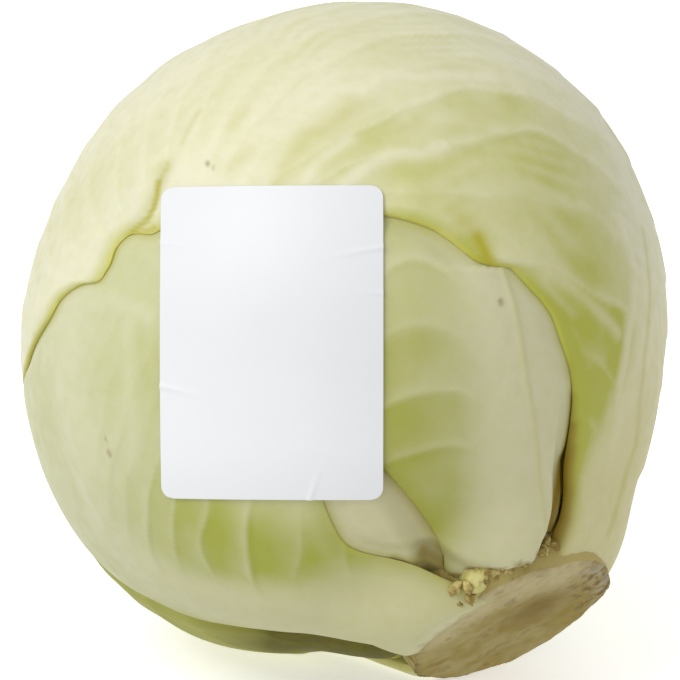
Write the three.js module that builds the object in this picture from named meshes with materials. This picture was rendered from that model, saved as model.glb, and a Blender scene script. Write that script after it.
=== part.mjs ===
// White cabbage head lying on its side, with its cut stem to the front right and a blank paper
// label on the front. Lengths are in millimetres and angles in degrees.
//
// The head is worked out upright about its own axis, then laid down. In the upright head, latitude is
// the angle up from the stem (0 at the stem, 180 at the crown) and longitude runs round the axis.
// Each leaf has its own two angles: along, measured from the stem over the leaf's midrib, and
// across, measured out from that line to either side.
import * as THREE from 'three';

// Ball that the outer leaves fill. It is a little short along one slanted axis.
const HEAD_RADIUS = 75.3;
const HEAD_SHORT_RADIUS = 70.6;
const SHORT_AXIS = { latitude: 33, longitude: 116 };

// How the head lies: the stem's lean from straight down, its heading from +X, the turn about its own
// axis, and the height of the ball's centre, low enough to press a flat spot 35 mm across underneath.
// The spot's rim is rounded over PRESS_EASE of height.
const LIE_LEAN = 43.8;
const LIE_HEADING = -49.3;
const LIE_TURN = -40.2;
const CENTRE_HEIGHT = 72;
const PRESS_EASE = 0.8;

// Leaf blades lie on each other like shells. From EDGE_ROOM to TUCK degrees outside a leaf's edge, the
// leaf under it rises to the skin, and its own ribs come up within RELIEF_RETURN more degrees.
const BLADE = 1.2;
const LEAF_GAP = 1.1;
const EDGE_ROOM = 5;
const TUCK = 15;
const RELIEF_RETURN = 5;

// Towards the stem the leaves flare out into a collar and thicken into fleshy bases.
const COLLAR_RISE = 6.5;
const COLLAR_LATITUDES = [18, 36];
const BASE_FLESH = 7.5;
const BASE_FLESH_AT_EDGE = 0.35;
const BASE_LENGTH = 34;
const BASE_SIDE_DROP = 3.5;

// Midrib and side veins stand up from the outer face. A side vein climbs as it leaves the midrib.
const RIB_HEIGHT = 2.8;
const RIB_HALF_WIDTH = 8;
const RIB_FADE_LENGTH = 45;
const RIB_TIP_HEIGHT = 0.25;
const RIB_TIP_WIDTH = 0.3;
const VEIN_HEIGHT = 1.1;
const VEIN_HEIGHT_AT_EDGE = 0.3;
const VEIN_SPACING = 12;
const VEIN_START = [8, 25];
const VEIN_CLIMB = 18;
const VEIN_BEND = 12;

// Leaf edges wave along their length and stand off the head a little.
const EDGE_WAVE = 1.3;
const EDGE_WAVE_LENGTH = 31;
const EDGE_WAVE_START = [10, 40];
const EDGE_LIFT = 1.6;
const EDGE_LIFT_START = 0.86;

// Stump of the stem, cut off flat but rough, together with the ends of the leaf bases round it. It is
// wider towards STEM_WIDE_LONGITUDE.
const STEM_HALF_ANGLE = 18.4;
const STEM_WIDENING = 0.9;
const STEM_WIDE_LONGITUDE = 75;
const STEM_CUT = 76;
const STEM_ROUGHNESS = 0.5;
const STEM_SEAT = 58;
const STEM_GAP = 0.4;

// Ball of tight inner leaves, with a deep neck round the stem.
const HEART_CLEARANCE = 1.5;
const HEART_NECK = 10;
const HEART_NECK_LATITUDES = [22, 48];

// Paper label, seen square from straight in front of its face.
const LABEL_WIDTH = 46.6;
const LABEL_HEIGHT = 65.5;
const LABEL_CORNER = 2.6;
const LABEL_PAPER = 0.6;
const LABEL_GAP = 0.4;
const LABEL_FACING = { latitude: 74, longitude: 0 };
const LABEL_ROLL = 28;
const LABEL_OFFSET = { right: -15.2, up: -2.4 };

// The leaves, outermost first. left and right give the distance across from the midrib line to the
// leaf's edge at places along it.
const LEAVES = [
  {
    name: 'leaf_crown', colour: 0xd9dba9, longitude: 70, base: 21, tip: 260, rows: 40, columns: 22,
    ribBend: -7,
    left: [[21, 6], [25, 10], [31, 14], [46, 20], [59, 27], [70, 37], [76, 46], [87, 55], [100, 68],
      [120, 74], [155, 76], [200, 70], [227, 66], [240, 51], [250, 42], [260, 22]],
    right: [[21, 10], [30, 14], [45, 21], [65, 32], [90, 46], [130, 54], [180, 52], [225, 44], [260, 20]],
  },
  {
    name: 'leaf_left', colour: 0xd3d6a4, longitude: -50, base: 19.5, tip: 138, rows: 20, columns: 16,
    ribBend: -5,
    left: [[19.5, 10], [25, 9], [36, 11], [47, 16], [56, 20], [65, 25], [80, 34], [100, 41], [120, 34],
      [138, 12]],
    right: [[19.5, 12], [25, 15], [38, 15], [45, 20], [52, 26], [70, 38], [90, 45], [115, 38], [138, 12]],
  },
  {
    name: 'leaf_rest', colour: 0xc3cb8c, longitude: -152, base: 20, tip: 139, rows: 20, columns: 16,
    ribBend: 3,
    left: [[20, 8], [30, 13], [45, 22], [65, 33], [90, 43], [115, 38], [139, 12]],
    right: [[20, 9], [30, 14], [45, 21], [65, 31], [90, 38], [115, 33], [139, 12]],
  },
  {
    name: 'leaf_right_back', colour: 0xcfd49b, longitude: 136, base: 20.5, tip: 139, rows: 20, columns: 16,
    ribBend: -3,
    left: [[20.5, 9], [30, 14], [45, 22], [65, 32], [90, 38], [115, 32], [139, 12]],
    right: [[20.5, 9], [30, 14], [45, 22], [65, 34], [90, 42], [115, 36], [139, 12]],
  },
  {
    name: 'leaf_under', colour: 0xa9b765, longitude: -102, base: 20, tip: 121, rows: 17, columns: 14,
    ribBend: 0,
    left: [[20, 8], [30, 14], [45, 23], [65, 32], [90, 34], [121, 12]],
    right: [[20, 7], [30, 13], [45, 23], [65, 32], [90, 34], [121, 12]],
  },
  {
    name: 'leaf_middle', colour: 0xd6d6a6, longitude: 25, base: 21, tip: 116, rows: 16, columns: 16,
    ribBend: 3,
    left: [[21, 13], [29, 16], [41, 21], [52, 27], [70, 34], [92, 34], [116, 12]],
    right: [[21, 9], [33, 11], [45, 15], [60, 20], [80, 27], [100, 24], [116, 10]],
  },
  {
    name: 'leaf_gap', colour: 0xdcdcba, longitude: -15, base: 22, tip: 73, rows: 8, columns: 12,
    ribBend: 0,
    left: [[22, 6], [35, 12], [50, 19], [62, 18], [73, 8]],
    right: [[22, 6], [35, 11], [50, 17], [62, 16], [73, 8]],
  },
];

// Columns of a leaf's mesh stand closer together at the midrib; 1 spaces them evenly.
const COLUMN_EVENNESS = 0.55;
const EDGE_PASSES = 10;
const HEART_ROWS = 24;
const HEART_COLUMNS = 32;
const STEM_RINGS = 4;
const STEM_SIDES = 32;
const LABEL_COLUMNS = 10;
const LABEL_ROWS = 14;

const rad = THREE.MathUtils.degToRad;
const deg = THREE.MathUtils.radToDeg;
const { clamp, lerp, smoothstep } = THREE.MathUtils;

// Unit vector of a latitude and longitude on the upright head.
function direction({ latitude, longitude }) {
  const sine = Math.sin(rad(latitude));
  return new THREE.Vector3(
    sine * Math.cos(rad(longitude)), sine * Math.sin(rad(longitude)), -Math.cos(rad(latitude)));
}

const latitudeOf = (way) => deg(Math.acos(clamp(-way.z, -1, 1)));

// The head's turn from upright to lying, as two nested groups carry it.
const lying = new THREE.Group();
lying.rotation.set(0, rad(-LIE_LEAN), rad(LIE_HEADING), 'ZYX');
const upright = new THREE.Group();
upright.rotation.z = rad(LIE_TURN);
lying.add(upright);
const down = new THREE.Vector3(0, 0, -1)
  .applyQuaternion(lying.quaternion.clone().multiply(upright.quaternion).invert());

const shortAxis = direction(SHORT_AXIS);

// Distance from the ball's centre to the ground along a direction.
function groundDistance(way) {
  const fall = way.dot(down);
  return fall > 0.1 ? CENTRE_HEIGHT / fall : Infinity;
}

// Distance from the ball's centre to the plane of the stem's cut along a direction.
const cutDistance = (way) => (way.z < -0.5 ? STEM_CUT / -way.z : Infinity);

// Ball with the collar at the stem, before the ground presses on it.
function freeRadius(way) {
  const along = way.dot(shortAxis);
  const ball = 1 / Math.sqrt((along / HEAD_SHORT_RADIUS) ** 2 + (1 - along * along) / HEAD_RADIUS ** 2);
  return ball + COLLAR_RISE * (1 - smoothstep(latitudeOf(way), ...COLLAR_LATITUDES));
}

// How deep the ground reaches into the free ball; -PRESS_EASE or less away from the flat spot.
const pressAt = (way) => Math.max(freeRadius(way) - groundDistance(way), -PRESS_EASE);

// Outer skin of the head, with the flat spot underneath.
function skinRadius(way) {
  const press = pressAt(way);
  return freeRadius(way) - (press > PRESS_EASE ? press : (press + PRESS_EASE) ** 2 / (4 * PRESS_EASE));
}

// Smooth curve through a short list of [place, value] points.
function through(points, place) {
  const last = points.length - 1;
  const x = clamp(place, points[0][0], points[last][0]);
  let i = 0;
  while (i < last - 1 && x > points[i + 1][0]) i += 1;
  const slope = (k) => {
    const a = points[Math.max(k - 1, 0)];
    const b = points[Math.min(k + 1, last)];
    return (b[1] - a[1]) / (b[0] - a[0]);
  };
  const step = points[i + 1][0] - points[i][0];
  const t = (x - points[i][0]) / step;
  const rest = 1 - t;
  return points[i][1] * (1 + 2 * t) * rest * rest + slope(i) * step * t * rest * rest
    + points[i + 1][1] * (3 - 2 * t) * t * t - slope(i + 1) * step * t * t * rest;
}

// Where a direction falls on a leaf: its angles along and across.
function onLeaf(leaf, way) {
  const turn = rad(leaf.longitude);
  const facing = way.x * Math.cos(turn) + way.y * Math.sin(turn);
  const sideways = -way.x * Math.sin(turn) + way.y * Math.cos(turn);
  const along = deg(Math.atan2(facing, -way.z));
  return { along: along < -50 ? along + 360 : along, across: deg(Math.asin(clamp(sideways, -1, 1))) };
}

// Direction of a place on a leaf.
function leafDirection(leaf, along, across) {
  const turn = rad(leaf.longitude);
  const facing = Math.cos(rad(across)) * Math.sin(rad(along));
  const sideways = Math.sin(rad(across));
  return new THREE.Vector3(
    facing * Math.cos(turn) - sideways * Math.sin(turn),
    facing * Math.sin(turn) + sideways * Math.cos(turn),
    -Math.cos(rad(across)) * Math.cos(rad(along)));
}

// Distance across from the midrib line to a leaf's edge, with the edge's waves.
function edgeAcross(leaf, side, along) {
  const width = through(side < 0 ? leaf.left : leaf.right, along);
  const swell = smoothstep(along - leaf.base, ...EDGE_WAVE_START);
  const phase = rad(360 * along / EDGE_WAVE_LENGTH + leaf.longitude);
  return width + EDGE_WAVE * swell * (Math.sin(phase) + 0.5 * Math.sin(2.3 * phase + side));
}

// How far outside a leaf's outline a direction lies, in degrees; 0 within it.
function outside(leaf, way) {
  const { along, across } = onLeaf(leaf, way);
  const outline = across < 0 ? leaf.left : leaf.right;
  const slant = (through(outline, along + 3) - through(outline, along - 3)) / (6 * Math.cos(rad(across)));
  const beyondEdge = (Math.abs(across) - edgeAcross(leaf, Math.sign(across), along)) / Math.hypot(1, slant);
  return Math.max(0, beyondEdge, leaf.base - along, along - leaf.tip);
}

// Share of fleshy base at a place along a leaf: 1 at the stem, 0 where the blade is thin.
const fleshAt = (leaf, along) => 1 - smoothstep(along, leaf.base, leaf.base + BASE_LENGTH);

function thickness(leaf, way) {
  const { along, across } = onLeaf(leaf, way);
  const rounding = lerp(BASE_FLESH_AT_EDGE, 1, Math.exp(-((across / (2 * RIB_HALF_WIDTH)) ** 2)));
  return BLADE + BASE_FLESH * fleshAt(leaf, along) * rounding;
}

// Depth below the skin taken up by the first leaves of the list.
function depthUnder(count, way) {
  let depth = 0;
  for (const leaf of LEAVES.slice(0, count)) {
    const hold = 1 - smoothstep(outside(leaf, way), EDGE_ROOM, TUCK);
    if (hold > 0) depth += hold * (thickness(leaf, way) + LEAF_GAP);
  }
  return depth;
}

// Label's own axes: its face looks along facing, and up is turned from the line to the crown.
const labelFacing = direction(LABEL_FACING);
const towardsCrown = direction({ latitude: LABEL_FACING.latitude + 90, longitude: LABEL_FACING.longitude });
const labelUp = towardsCrown.clone().applyAxisAngle(labelFacing, rad(-LABEL_ROLL));
const labelRight = new THREE.Vector3().crossVectors(labelUp, labelFacing);

// How far outside the label's rectangle a direction meets the skin, in millimetres.
function outsideLabel(way) {
  if (way.dot(labelFacing) < 0.5) return Infinity;
  const radius = skinRadius(way);
  const right = Math.abs(radius * way.dot(labelRight) - LABEL_OFFSET.right) - LABEL_WIDTH / 2;
  const up = Math.abs(radius * way.dot(labelUp) - LABEL_OFFSET.up) - LABEL_HEIGHT / 2;
  return Math.max(0, right, up);
}

// Relief lies down where another leaf or the label presses on it.
function freedom(index, way) {
  let free = smoothstep(outsideLabel(way), 0, RELIEF_RETURN);
  for (const leaf of LEAVES.slice(0, index)) {
    free *= smoothstep(outside(leaf, way), EDGE_ROOM, EDGE_ROOM + RELIEF_RETURN);
  }
  return free;
}

// How far ribs, veins and the lifted edge of a leaf stand up. station is where the vein through the
// place leaves the midrib, and share is the place's part of the way out to the edge.
function relief(leaf, station, across, share) {
  const grown = station - leaf.base;
  const span = grown / (leaf.tip - leaf.base);
  const taper = Math.exp(-grown / RIB_FADE_LENGTH);
  const fromRib = across - leaf.ribBend * smoothstep(span, 0, 0.6);
  const onRib = Math.exp(-((fromRib / (RIB_HALF_WIDTH * lerp(RIB_TIP_WIDTH, 1, taper))) ** 2));
  const rib = RIB_HEIGHT * lerp(RIB_TIP_HEIGHT, 1, taper) * onRib * (1 - span);
  // Veins leave the midrib to the left and the right in turn.
  const turn = 360 * grown / VEIN_SPACING + (across < 0 ? 180 : 0);
  const crest = (0.5 + 0.5 * Math.cos(rad(turn))) ** 2 * smoothstep(grown, ...VEIN_START);
  const vein = VEIN_HEIGHT * crest * (1 - onRib) * lerp(1, VEIN_HEIGHT_AT_EDGE, share);
  const roll = 0.5 + 0.5 * Math.sin(rad(360 * station / EDGE_WAVE_LENGTH + 2 * leaf.longitude));
  const lift = EDGE_LIFT * roll * smoothstep(share, EDGE_LIFT_START, 1);
  return rib + vein + lift;
}

// Closed solid between two grids of points, wound so that the outer grid faces out.
function shellGeometry(outer, inner) {
  const rows = outer.length;
  const columns = outer[0].length;
  const points = [...outer.flat(), ...inner.flat()];
  const half = rows * columns;
  const top = (i, j) => i * columns + j;
  const under = (i, j) => half + i * columns + j;
  const faces = [];
  const quad = (a, b, c, d) => faces.push(a, b, c, a, c, d);
  for (let i = 0; i < rows - 1; i += 1) {
    for (let j = 0; j < columns - 1; j += 1) {
      quad(top(i, j), top(i, j + 1), top(i + 1, j + 1), top(i + 1, j));
      faces.push(under(i, j), under(i + 1, j + 1), under(i, j + 1));
      faces.push(under(i, j), under(i + 1, j), under(i + 1, j + 1));
    }
    quad(top(i, 0), top(i + 1, 0), under(i + 1, 0), under(i, 0));
    quad(top(i + 1, columns - 1), top(i, columns - 1), under(i, columns - 1), under(i + 1, columns - 1));
  }
  for (let j = 0; j < columns - 1; j += 1) {
    quad(top(0, j + 1), top(0, j), under(0, j), under(0, j + 1));
    quad(top(rows - 1, j), top(rows - 1, j + 1), under(rows - 1, j + 1), under(rows - 1, j));
  }
  return indexed(points, faces);
}

function indexed(points, faces) {
  const geometry = new THREE.BufferGeometry().setFromPoints(points);
  geometry.setIndex(faces);
  geometry.computeVertexNormals();
  return geometry;
}

// One leaf: rows follow its side veins, columns run from edge to edge.
function leafGeometry(leaf, index) {
  const outer = [];
  const inner = [];
  for (let i = 0; i <= leaf.rows; i += 1) {
    const span = i / leaf.rows;
    const station = lerp(leaf.base, leaf.tip, span);
    const climb = VEIN_CLIMB * 4 * span * (1 - span);
    const alongAt = (across) => station + climb * (1 - Math.exp(-Math.abs(across) / VEIN_BEND));
    const outerRow = [];
    const innerRow = [];
    for (let j = 0; j <= leaf.columns; j += 1) {
      const place = 2 * j / leaf.columns - 1;
      const share = Math.abs(place);
      const side = place < 0 ? -1 : 1;
      let edge = edgeAcross(leaf, side, station);
      for (let pass = 0; pass < EDGE_PASSES; pass += 1) edge = edgeAcross(leaf, side, alongAt(edge));
      const across = side * edge * lerp(share * share, share, COLUMN_EVENNESS);
      const way = leafDirection(leaf, alongAt(across), across);
      const bed = skinRadius(way) - depthUnder(index, way);
      const raised = bed + relief(leaf, station, across, share) * freedom(index, way);
      // The sides of a base fall away, but not where the ground presses on it.
      const hanging = 1 - smoothstep(pressAt(way), -PRESS_EASE, PRESS_EASE);
      const slump = BASE_SIDE_DROP * fleshAt(leaf, station) * share * share * hanging;
      const back = bed - thickness(leaf, way);
      const open = Math.min(raised - slump, groundDistance(way), cutDistance(way));
      const surface = Math.max(open, back + BLADE);
      outerRow.push(way.clone().multiplyScalar(surface));
      innerRow.push(way.clone().multiplyScalar(back));
    }
    outer.push(outerRow);
    inner.push(innerRow);
  }
  return shellGeometry(outer, inner);
}

// The heart fills what the wrapper leaves leave free.
function heartGeometry() {
  const radiusAt = (way) => {
    const latitude = latitudeOf(way);
    const neck = HEART_NECK * (1 - smoothstep(latitude, ...HEART_NECK_LATITUDES));
    const free = skinRadius(way) - depthUnder(LEAVES.length, way) - HEART_CLEARANCE - neck;
    return lerp(STEM_SEAT, free, smoothstep(latitude, STEM_HALF_ANGLE + 1, STEM_HALF_ANGLE + 8));
  };
  const points = [];
  const faces = [];
  const at = (i, j) => 1 + (i - 1) * HEART_COLUMNS + (j % HEART_COLUMNS);
  const place = (latitude, longitude) => {
    const way = direction({ latitude, longitude });
    points.push(way.multiplyScalar(radiusAt(way)));
  };
  place(0, 0);
  for (let i = 1; i < HEART_ROWS; i += 1) {
    for (let j = 0; j < HEART_COLUMNS; j += 1) place(180 * i / HEART_ROWS, 360 * j / HEART_COLUMNS);
  }
  place(180, 0);
  const crown = points.length - 1;
  for (let j = 0; j < HEART_COLUMNS; j += 1) {
    faces.push(0, at(1, j + 1), at(1, j));
    for (let i = 1; i < HEART_ROWS - 1; i += 1) {
      faces.push(at(i, j), at(i, j + 1), at(i + 1, j + 1));
      faces.push(at(i, j), at(i + 1, j + 1), at(i + 1, j));
    }
    faces.push(crown, at(HEART_ROWS - 1, j), at(HEART_ROWS - 1, j + 1));
  }
  return indexed(points, faces);
}

// The stump: a short cone that stands on the heart, lumpy round its rim and rough on its cut face.
function stemGeometry() {
  const points = [];
  const faces = [];
  const rimAt = (longitude) => STEM_HALF_ANGLE + STEM_WIDENING * Math.cos(rad(longitude - STEM_WIDE_LONGITUDE))
    + 0.3 * Math.sin(rad(3 * longitude + 40)) + 0.2 * Math.sin(rad(7 * longitude));
  const cutAt = (share, longitude) => STEM_CUT
    + STEM_ROUGHNESS * Math.sin(rad(5 * longitude + 300 * share)) * share
    - 1.2 * STEM_ROUGHNESS * smoothstep(share, 0.85, 1);
  const seat = STEM_SEAT + STEM_GAP;
  points.push(new THREE.Vector3(0, 0, -cutAt(0, 0)), new THREE.Vector3(0, 0, -seat));
  const cut = (i, j) => 2 + (i - 1) * STEM_SIDES + (j % STEM_SIDES);
  const foot = (i, j) => cut(i, j) + STEM_RINGS * STEM_SIDES;
  const ring = (radiusAt) => {
    for (let i = 1; i <= STEM_RINGS; i += 1) {
      for (let j = 0; j < STEM_SIDES; j += 1) {
        const longitude = 360 * j / STEM_SIDES;
        const latitude = rimAt(longitude) * i / STEM_RINGS;
        const radius = radiusAt(latitude, longitude, i / STEM_RINGS);
        points.push(direction({ latitude, longitude }).multiplyScalar(radius));
      }
    }
  };
  ring((latitude, longitude, share) => cutAt(share, longitude) / Math.cos(rad(latitude)));
  ring(() => seat);
  for (let j = 0; j < STEM_SIDES; j += 1) {
    faces.push(0, cut(1, j + 1), cut(1, j), 1, foot(1, j), foot(1, j + 1));
    for (let i = 1; i < STEM_RINGS; i += 1) {
      faces.push(cut(i, j), cut(i, j + 1), cut(i + 1, j + 1));
      faces.push(cut(i, j), cut(i + 1, j + 1), cut(i + 1, j));
      faces.push(foot(i, j), foot(i + 1, j + 1), foot(i, j + 1));
      faces.push(foot(i, j), foot(i + 1, j), foot(i + 1, j + 1));
    }
    faces.push(cut(STEM_RINGS, j), cut(STEM_RINGS, j + 1), foot(STEM_RINGS, j + 1));
    faces.push(cut(STEM_RINGS, j), foot(STEM_RINGS, j + 1), foot(STEM_RINGS, j));
  }
  return indexed(points, faces);
}

// The label: a rectangle with round corners, wrapped onto the skin.
function labelGeometry() {
  const outer = [];
  const inner = [];
  for (let i = 0; i <= LABEL_ROWS; i += 1) {
    const outerRow = [];
    const innerRow = [];
    for (let j = 0; j <= LABEL_COLUMNS; j += 1) {
      const up = (i / LABEL_ROWS - 0.5) * LABEL_HEIGHT;
      const intoCorner = Math.max(0, Math.abs(up) - LABEL_HEIGHT / 2 + LABEL_CORNER);
      const cornerCut = LABEL_CORNER - Math.sqrt(LABEL_CORNER ** 2 - intoCorner ** 2);
      const right = (j / LABEL_COLUMNS - 0.5) * (LABEL_WIDTH - 2 * cornerCut);
      const across = new THREE.Vector3()
        .addScaledVector(labelRight, right + LABEL_OFFSET.right)
        .addScaledVector(labelUp, up + LABEL_OFFSET.up);
      const way = across.clone().addScaledVector(labelFacing, HEAD_RADIUS).normalize();
      for (let pass = 0; pass < EDGE_PASSES; pass += 1) {
        const reach = Math.sqrt(skinRadius(way) ** 2 - across.lengthSq());
        way.copy(across).addScaledVector(labelFacing, reach).normalize();
      }
      const back = skinRadius(way) + LABEL_GAP;
      outerRow.push(way.clone().multiplyScalar(back + LABEL_PAPER));
      innerRow.push(way.clone().multiplyScalar(back));
    }
    outer.push(outerRow);
    inner.push(innerRow);
  }
  return shellGeometry(outer, inner);
}

function addPiece(name, geometry, colour, roughness) {
  const material = new THREE.MeshStandardMaterial({ color: colour, roughness, metalness: 0 });
  const mesh = new THREE.Mesh(geometry, material);
  mesh.name = name;
  upright.add(mesh);
}

addPiece('heart', heartGeometry(), 0xd8d6a0, 0.5);
addPiece('stem', stemGeometry(), 0x9c8757, 0.85);
LEAVES.forEach((leaf, index) => addPiece(leaf.name, leafGeometry(leaf, index), leaf.colour, 0.45));
addPiece('label', labelGeometry(), 0xf1f2f3, 0.55);

// The origin is on the ground under the middle of the head's outline.
const cabbage = new THREE.Group();
cabbage.add(lying);
lying.position.z = CENTRE_HEIGHT;
cabbage.updateMatrixWorld(true);
const middle = new THREE.Box3().setFromObject(cabbage, true).getCenter(new THREE.Vector3());
lying.position.x = -middle.x;
lying.position.y = -middle.y;

export default cabbage;
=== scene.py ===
"""White cabbage head lying on its side, with its cut stem to the front right and a blank paper label.

Shapes are worked out in millimetres and degrees on the upright head, then laid down in the frame, in metres.
"""
import math
from types import SimpleNamespace

import bmesh
import bpy
import numpy as np
from mathutils import Matrix, Vector, noise


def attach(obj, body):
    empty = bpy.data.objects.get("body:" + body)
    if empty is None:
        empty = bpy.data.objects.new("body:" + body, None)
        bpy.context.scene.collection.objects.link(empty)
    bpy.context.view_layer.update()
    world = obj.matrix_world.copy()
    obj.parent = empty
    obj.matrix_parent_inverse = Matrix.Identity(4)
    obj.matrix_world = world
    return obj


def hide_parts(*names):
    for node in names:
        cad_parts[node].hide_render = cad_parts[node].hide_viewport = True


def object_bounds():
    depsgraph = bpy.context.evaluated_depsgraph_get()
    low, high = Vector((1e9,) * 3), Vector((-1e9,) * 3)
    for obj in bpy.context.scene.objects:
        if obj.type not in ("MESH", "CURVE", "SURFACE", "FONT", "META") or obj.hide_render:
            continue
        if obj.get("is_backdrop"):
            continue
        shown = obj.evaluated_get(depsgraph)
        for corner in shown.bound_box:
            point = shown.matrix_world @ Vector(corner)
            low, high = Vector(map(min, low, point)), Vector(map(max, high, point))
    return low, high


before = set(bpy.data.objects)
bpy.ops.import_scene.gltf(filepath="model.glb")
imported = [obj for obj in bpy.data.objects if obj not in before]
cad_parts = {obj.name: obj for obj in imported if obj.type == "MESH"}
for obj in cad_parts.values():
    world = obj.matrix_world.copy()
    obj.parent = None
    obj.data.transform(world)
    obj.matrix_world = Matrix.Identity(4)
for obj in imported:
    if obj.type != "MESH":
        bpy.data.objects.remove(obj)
cad_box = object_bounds()

# The head as a whole
# A cabbage head is a tight ball of leaves round a short stem. This one is a little short along a slanted
# axis. It has rolled onto its side and presses a small flat spot where it touches the ground.
MM = 0.001
HEAD_CENTRE = (-0.301, 0.078, 72)
HEAD_RADIUS = 75.3
HEAD_SHORT_RADIUS = 70.6
SHORT_AXIS_LATITUDE = 33
SHORT_AXIS_LONGITUDE = 116
LIE_LEAN = 43.8
LIE_HEADING = -49.3
LIE_TURN = -40.2
PRESS_EASE = 0.8
COLLAR_RISE = 6.5
COLLAR_LATITUDES = (18, 36)
STEM_CUT = 77.2
STEM_CUT_TILT = 5
# Cosines beyond which a direction meets the ground, or the plane of the cut.
GROUND_SIDE = 0.1
CUT_SIDE = 0.5
# Length of one degree on the skin.
DEGREE = math.radians(1) * HEAD_RADIUS

head_centre = Vector(HEAD_CENTRE) * MM
lie_turn = np.array(Matrix.Rotation(math.radians(LIE_HEADING), 3, "Z")
                    @ Matrix.Rotation(math.radians(-LIE_LEAN), 3, "Y")
                    @ Matrix.Rotation(math.radians(LIE_TURN), 3, "Z"))


def laid_down(points):
    """Millimetres on the upright head to metres in the frame."""
    return points @ lie_turn.T * MM + np.array(head_centre)


def smooth(value, low, high):
    """Eases from 0 at low to 1 at high."""
    share = np.clip((value - low) / (high - low), 0, 1)
    return share * share * (3 - 2 * share)


def mix(low, high, share):
    """From low at a share of 0 to high at 1."""
    return low + (high - low) * share


def direction(latitude, longitude):
    """Unit vectors on the upright head: latitude is the angle up from the stem."""
    up, turn = np.radians(latitude), np.radians(longitude)
    parts = np.sin(up) * np.cos(turn), np.sin(up) * np.sin(turn), -np.cos(up)
    return np.stack(np.broadcast_arrays(*parts), -1)


down = np.array([0, 0, -1]) @ lie_turn
short_axis = direction(SHORT_AXIS_LATITUDE, SHORT_AXIS_LONGITUDE)
cut_facing = direction(STEM_CUT_TILT, 0)


def latitude_of(way):
    """Degrees up from the stem."""
    return np.degrees(np.arccos(np.clip(-way[..., 2], -1, 1)))


def ground_distance(way):
    """Distance from the head's centre to the ground."""
    fall = way @ down
    return np.where(fall > GROUND_SIDE, HEAD_CENTRE[2] / np.maximum(fall, GROUND_SIDE), np.inf)


def cut_distance(way):
    """Distance from the head's centre to the plane in which the stem is cut off."""
    toward = way @ cut_facing
    return np.where(toward > CUT_SIDE, STEM_CUT / np.maximum(toward, CUT_SIDE), np.inf)


def free_radius(way):
    """Ball with the collar at the stem, before the ground presses on it."""
    along = way @ short_axis
    ball = 1 / np.sqrt((along / HEAD_SHORT_RADIUS) ** 2 + (1 - along ** 2) / HEAD_RADIUS ** 2)
    return ball + COLLAR_RISE * (1 - smooth(latitude_of(way), *COLLAR_LATITUDES))


def press_at(way):
    """How far the ground presses into the free form; at least minus the ease."""
    return np.maximum(free_radius(way) - ground_distance(way), -PRESS_EASE)


def skin_radius(way):
    """Outer skin of the head, with the flat spot underneath."""
    press = press_at(way)
    eased = (press + PRESS_EASE) ** 2 / (4 * PRESS_EASE)
    return free_radius(way) - np.where(press > PRESS_EASE, press, eased)


# Paper label
# A sticker of coated white paper with round corners, pressed onto the front of the head by hand. The curve
# of the head gives it a few shallow creases that run in from its sides.
LABEL_WIDTH = 46.6
LABEL_HEIGHT = 65.5
LABEL_CORNER = 2.6
LABEL_PAPER = 0.25
LABEL_GAP = 0.35
LABEL_LATITUDE = 74
LABEL_ROLL = 28
LABEL_RIGHT = -15.2
LABEL_UP = -2.4
LABEL_ROWS = 200
LABEL_COLUMNS = 150
# Creases from their outer to their inner end, right and up from the label's middle, with their height.
LABEL_CREASES = [((23.3, 19.8), (11, 17.6), 0.30), ((23.3, 10.2), (18, 10.9), 0.22),
                 ((-23.3, -9.0), (-14.5, -11), 0.26), ((8, -32.7), (10.5, -25), 0.2),
                 ((-23.3, 21), (-17, 20.2), 0.18)]
CREASE_HALF_WIDTH = 0.55
LABEL_FITTING_STEPS = 10
# Cosine beyond which a direction is on the label's side of the head.
LABEL_SIDE = 0.5
# Where its tone turns from upper to lower, as shares of its height down from the middle. The lower tone is
# lighter: painted light that makes up for the shade that falls on the label's lower half.
LABEL_PAINTED_LIGHT_SPAN = (-0.1, 0.5)
LABEL_UPPER = "DDDEE0"
LABEL_PAINTED_LIGHTER_LOWER = "ECEDEF"
SHEET_SHARP_ANGLE = 50

label_facing = direction(LABEL_LATITUDE, 0)
to_crown = direction(LABEL_LATITUDE + 90, 0)
roll = math.radians(LABEL_ROLL)
label_up = to_crown * math.cos(roll) + np.cross(label_facing, to_crown) * -math.sin(roll)
label_right = np.cross(label_up, label_facing)


def outside_label(way):
    """How far outside the label's rectangle a direction meets the skin, in millimetres."""
    radius = skin_radius(way)
    right = np.abs(radius * (way @ label_right) - LABEL_RIGHT) - LABEL_WIDTH / 2
    up = np.abs(radius * (way @ label_up) - LABEL_UP) - LABEL_HEIGHT / 2
    return np.where(way @ label_facing < LABEL_SIDE, np.inf, np.maximum(0, np.maximum(right, up)))


def along_line(x, y, start, end):
    """How far points lie from a straight line, and at which share of its length."""
    start, end = np.array(start, float), np.array(end, float)
    line = end - start
    share = np.clip(((x - start[0]) * line[0] + (y - start[1]) * line[1]) / (line @ line), 0, 1)
    return np.hypot(x - start[0] - share * line[0], y - start[1] - share * line[1]), share


def linear(hex_colour):
    """sRGB hex to the linear colour that shader sockets take."""
    parts = [int(hex_colour[i:i + 2], 16) / 255 for i in (0, 2, 4)]
    return tuple(p / 12.92 if p <= 0.04045 else ((p + 0.055) / 1.055) ** 2.4 for p in parts) + (1,)


def add(tree, kind, inputs=(), output=0, **settings):
    """Adds one node with its settings, fills or links its inputs, and gives one of its outputs."""
    node = tree.nodes.new("ShaderNode" + kind)
    for name, value in settings.items():
        setattr(node, name, value)
    for name, value in inputs.items() if isinstance(inputs, dict) else enumerate(inputs):
        if isinstance(value, bpy.types.NodeSocket):
            tree.links.new(value, node.inputs[name])
        else:
            node.inputs[name].default_value = linear(value) if isinstance(value, str) else value
    return node.outputs[output]


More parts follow.
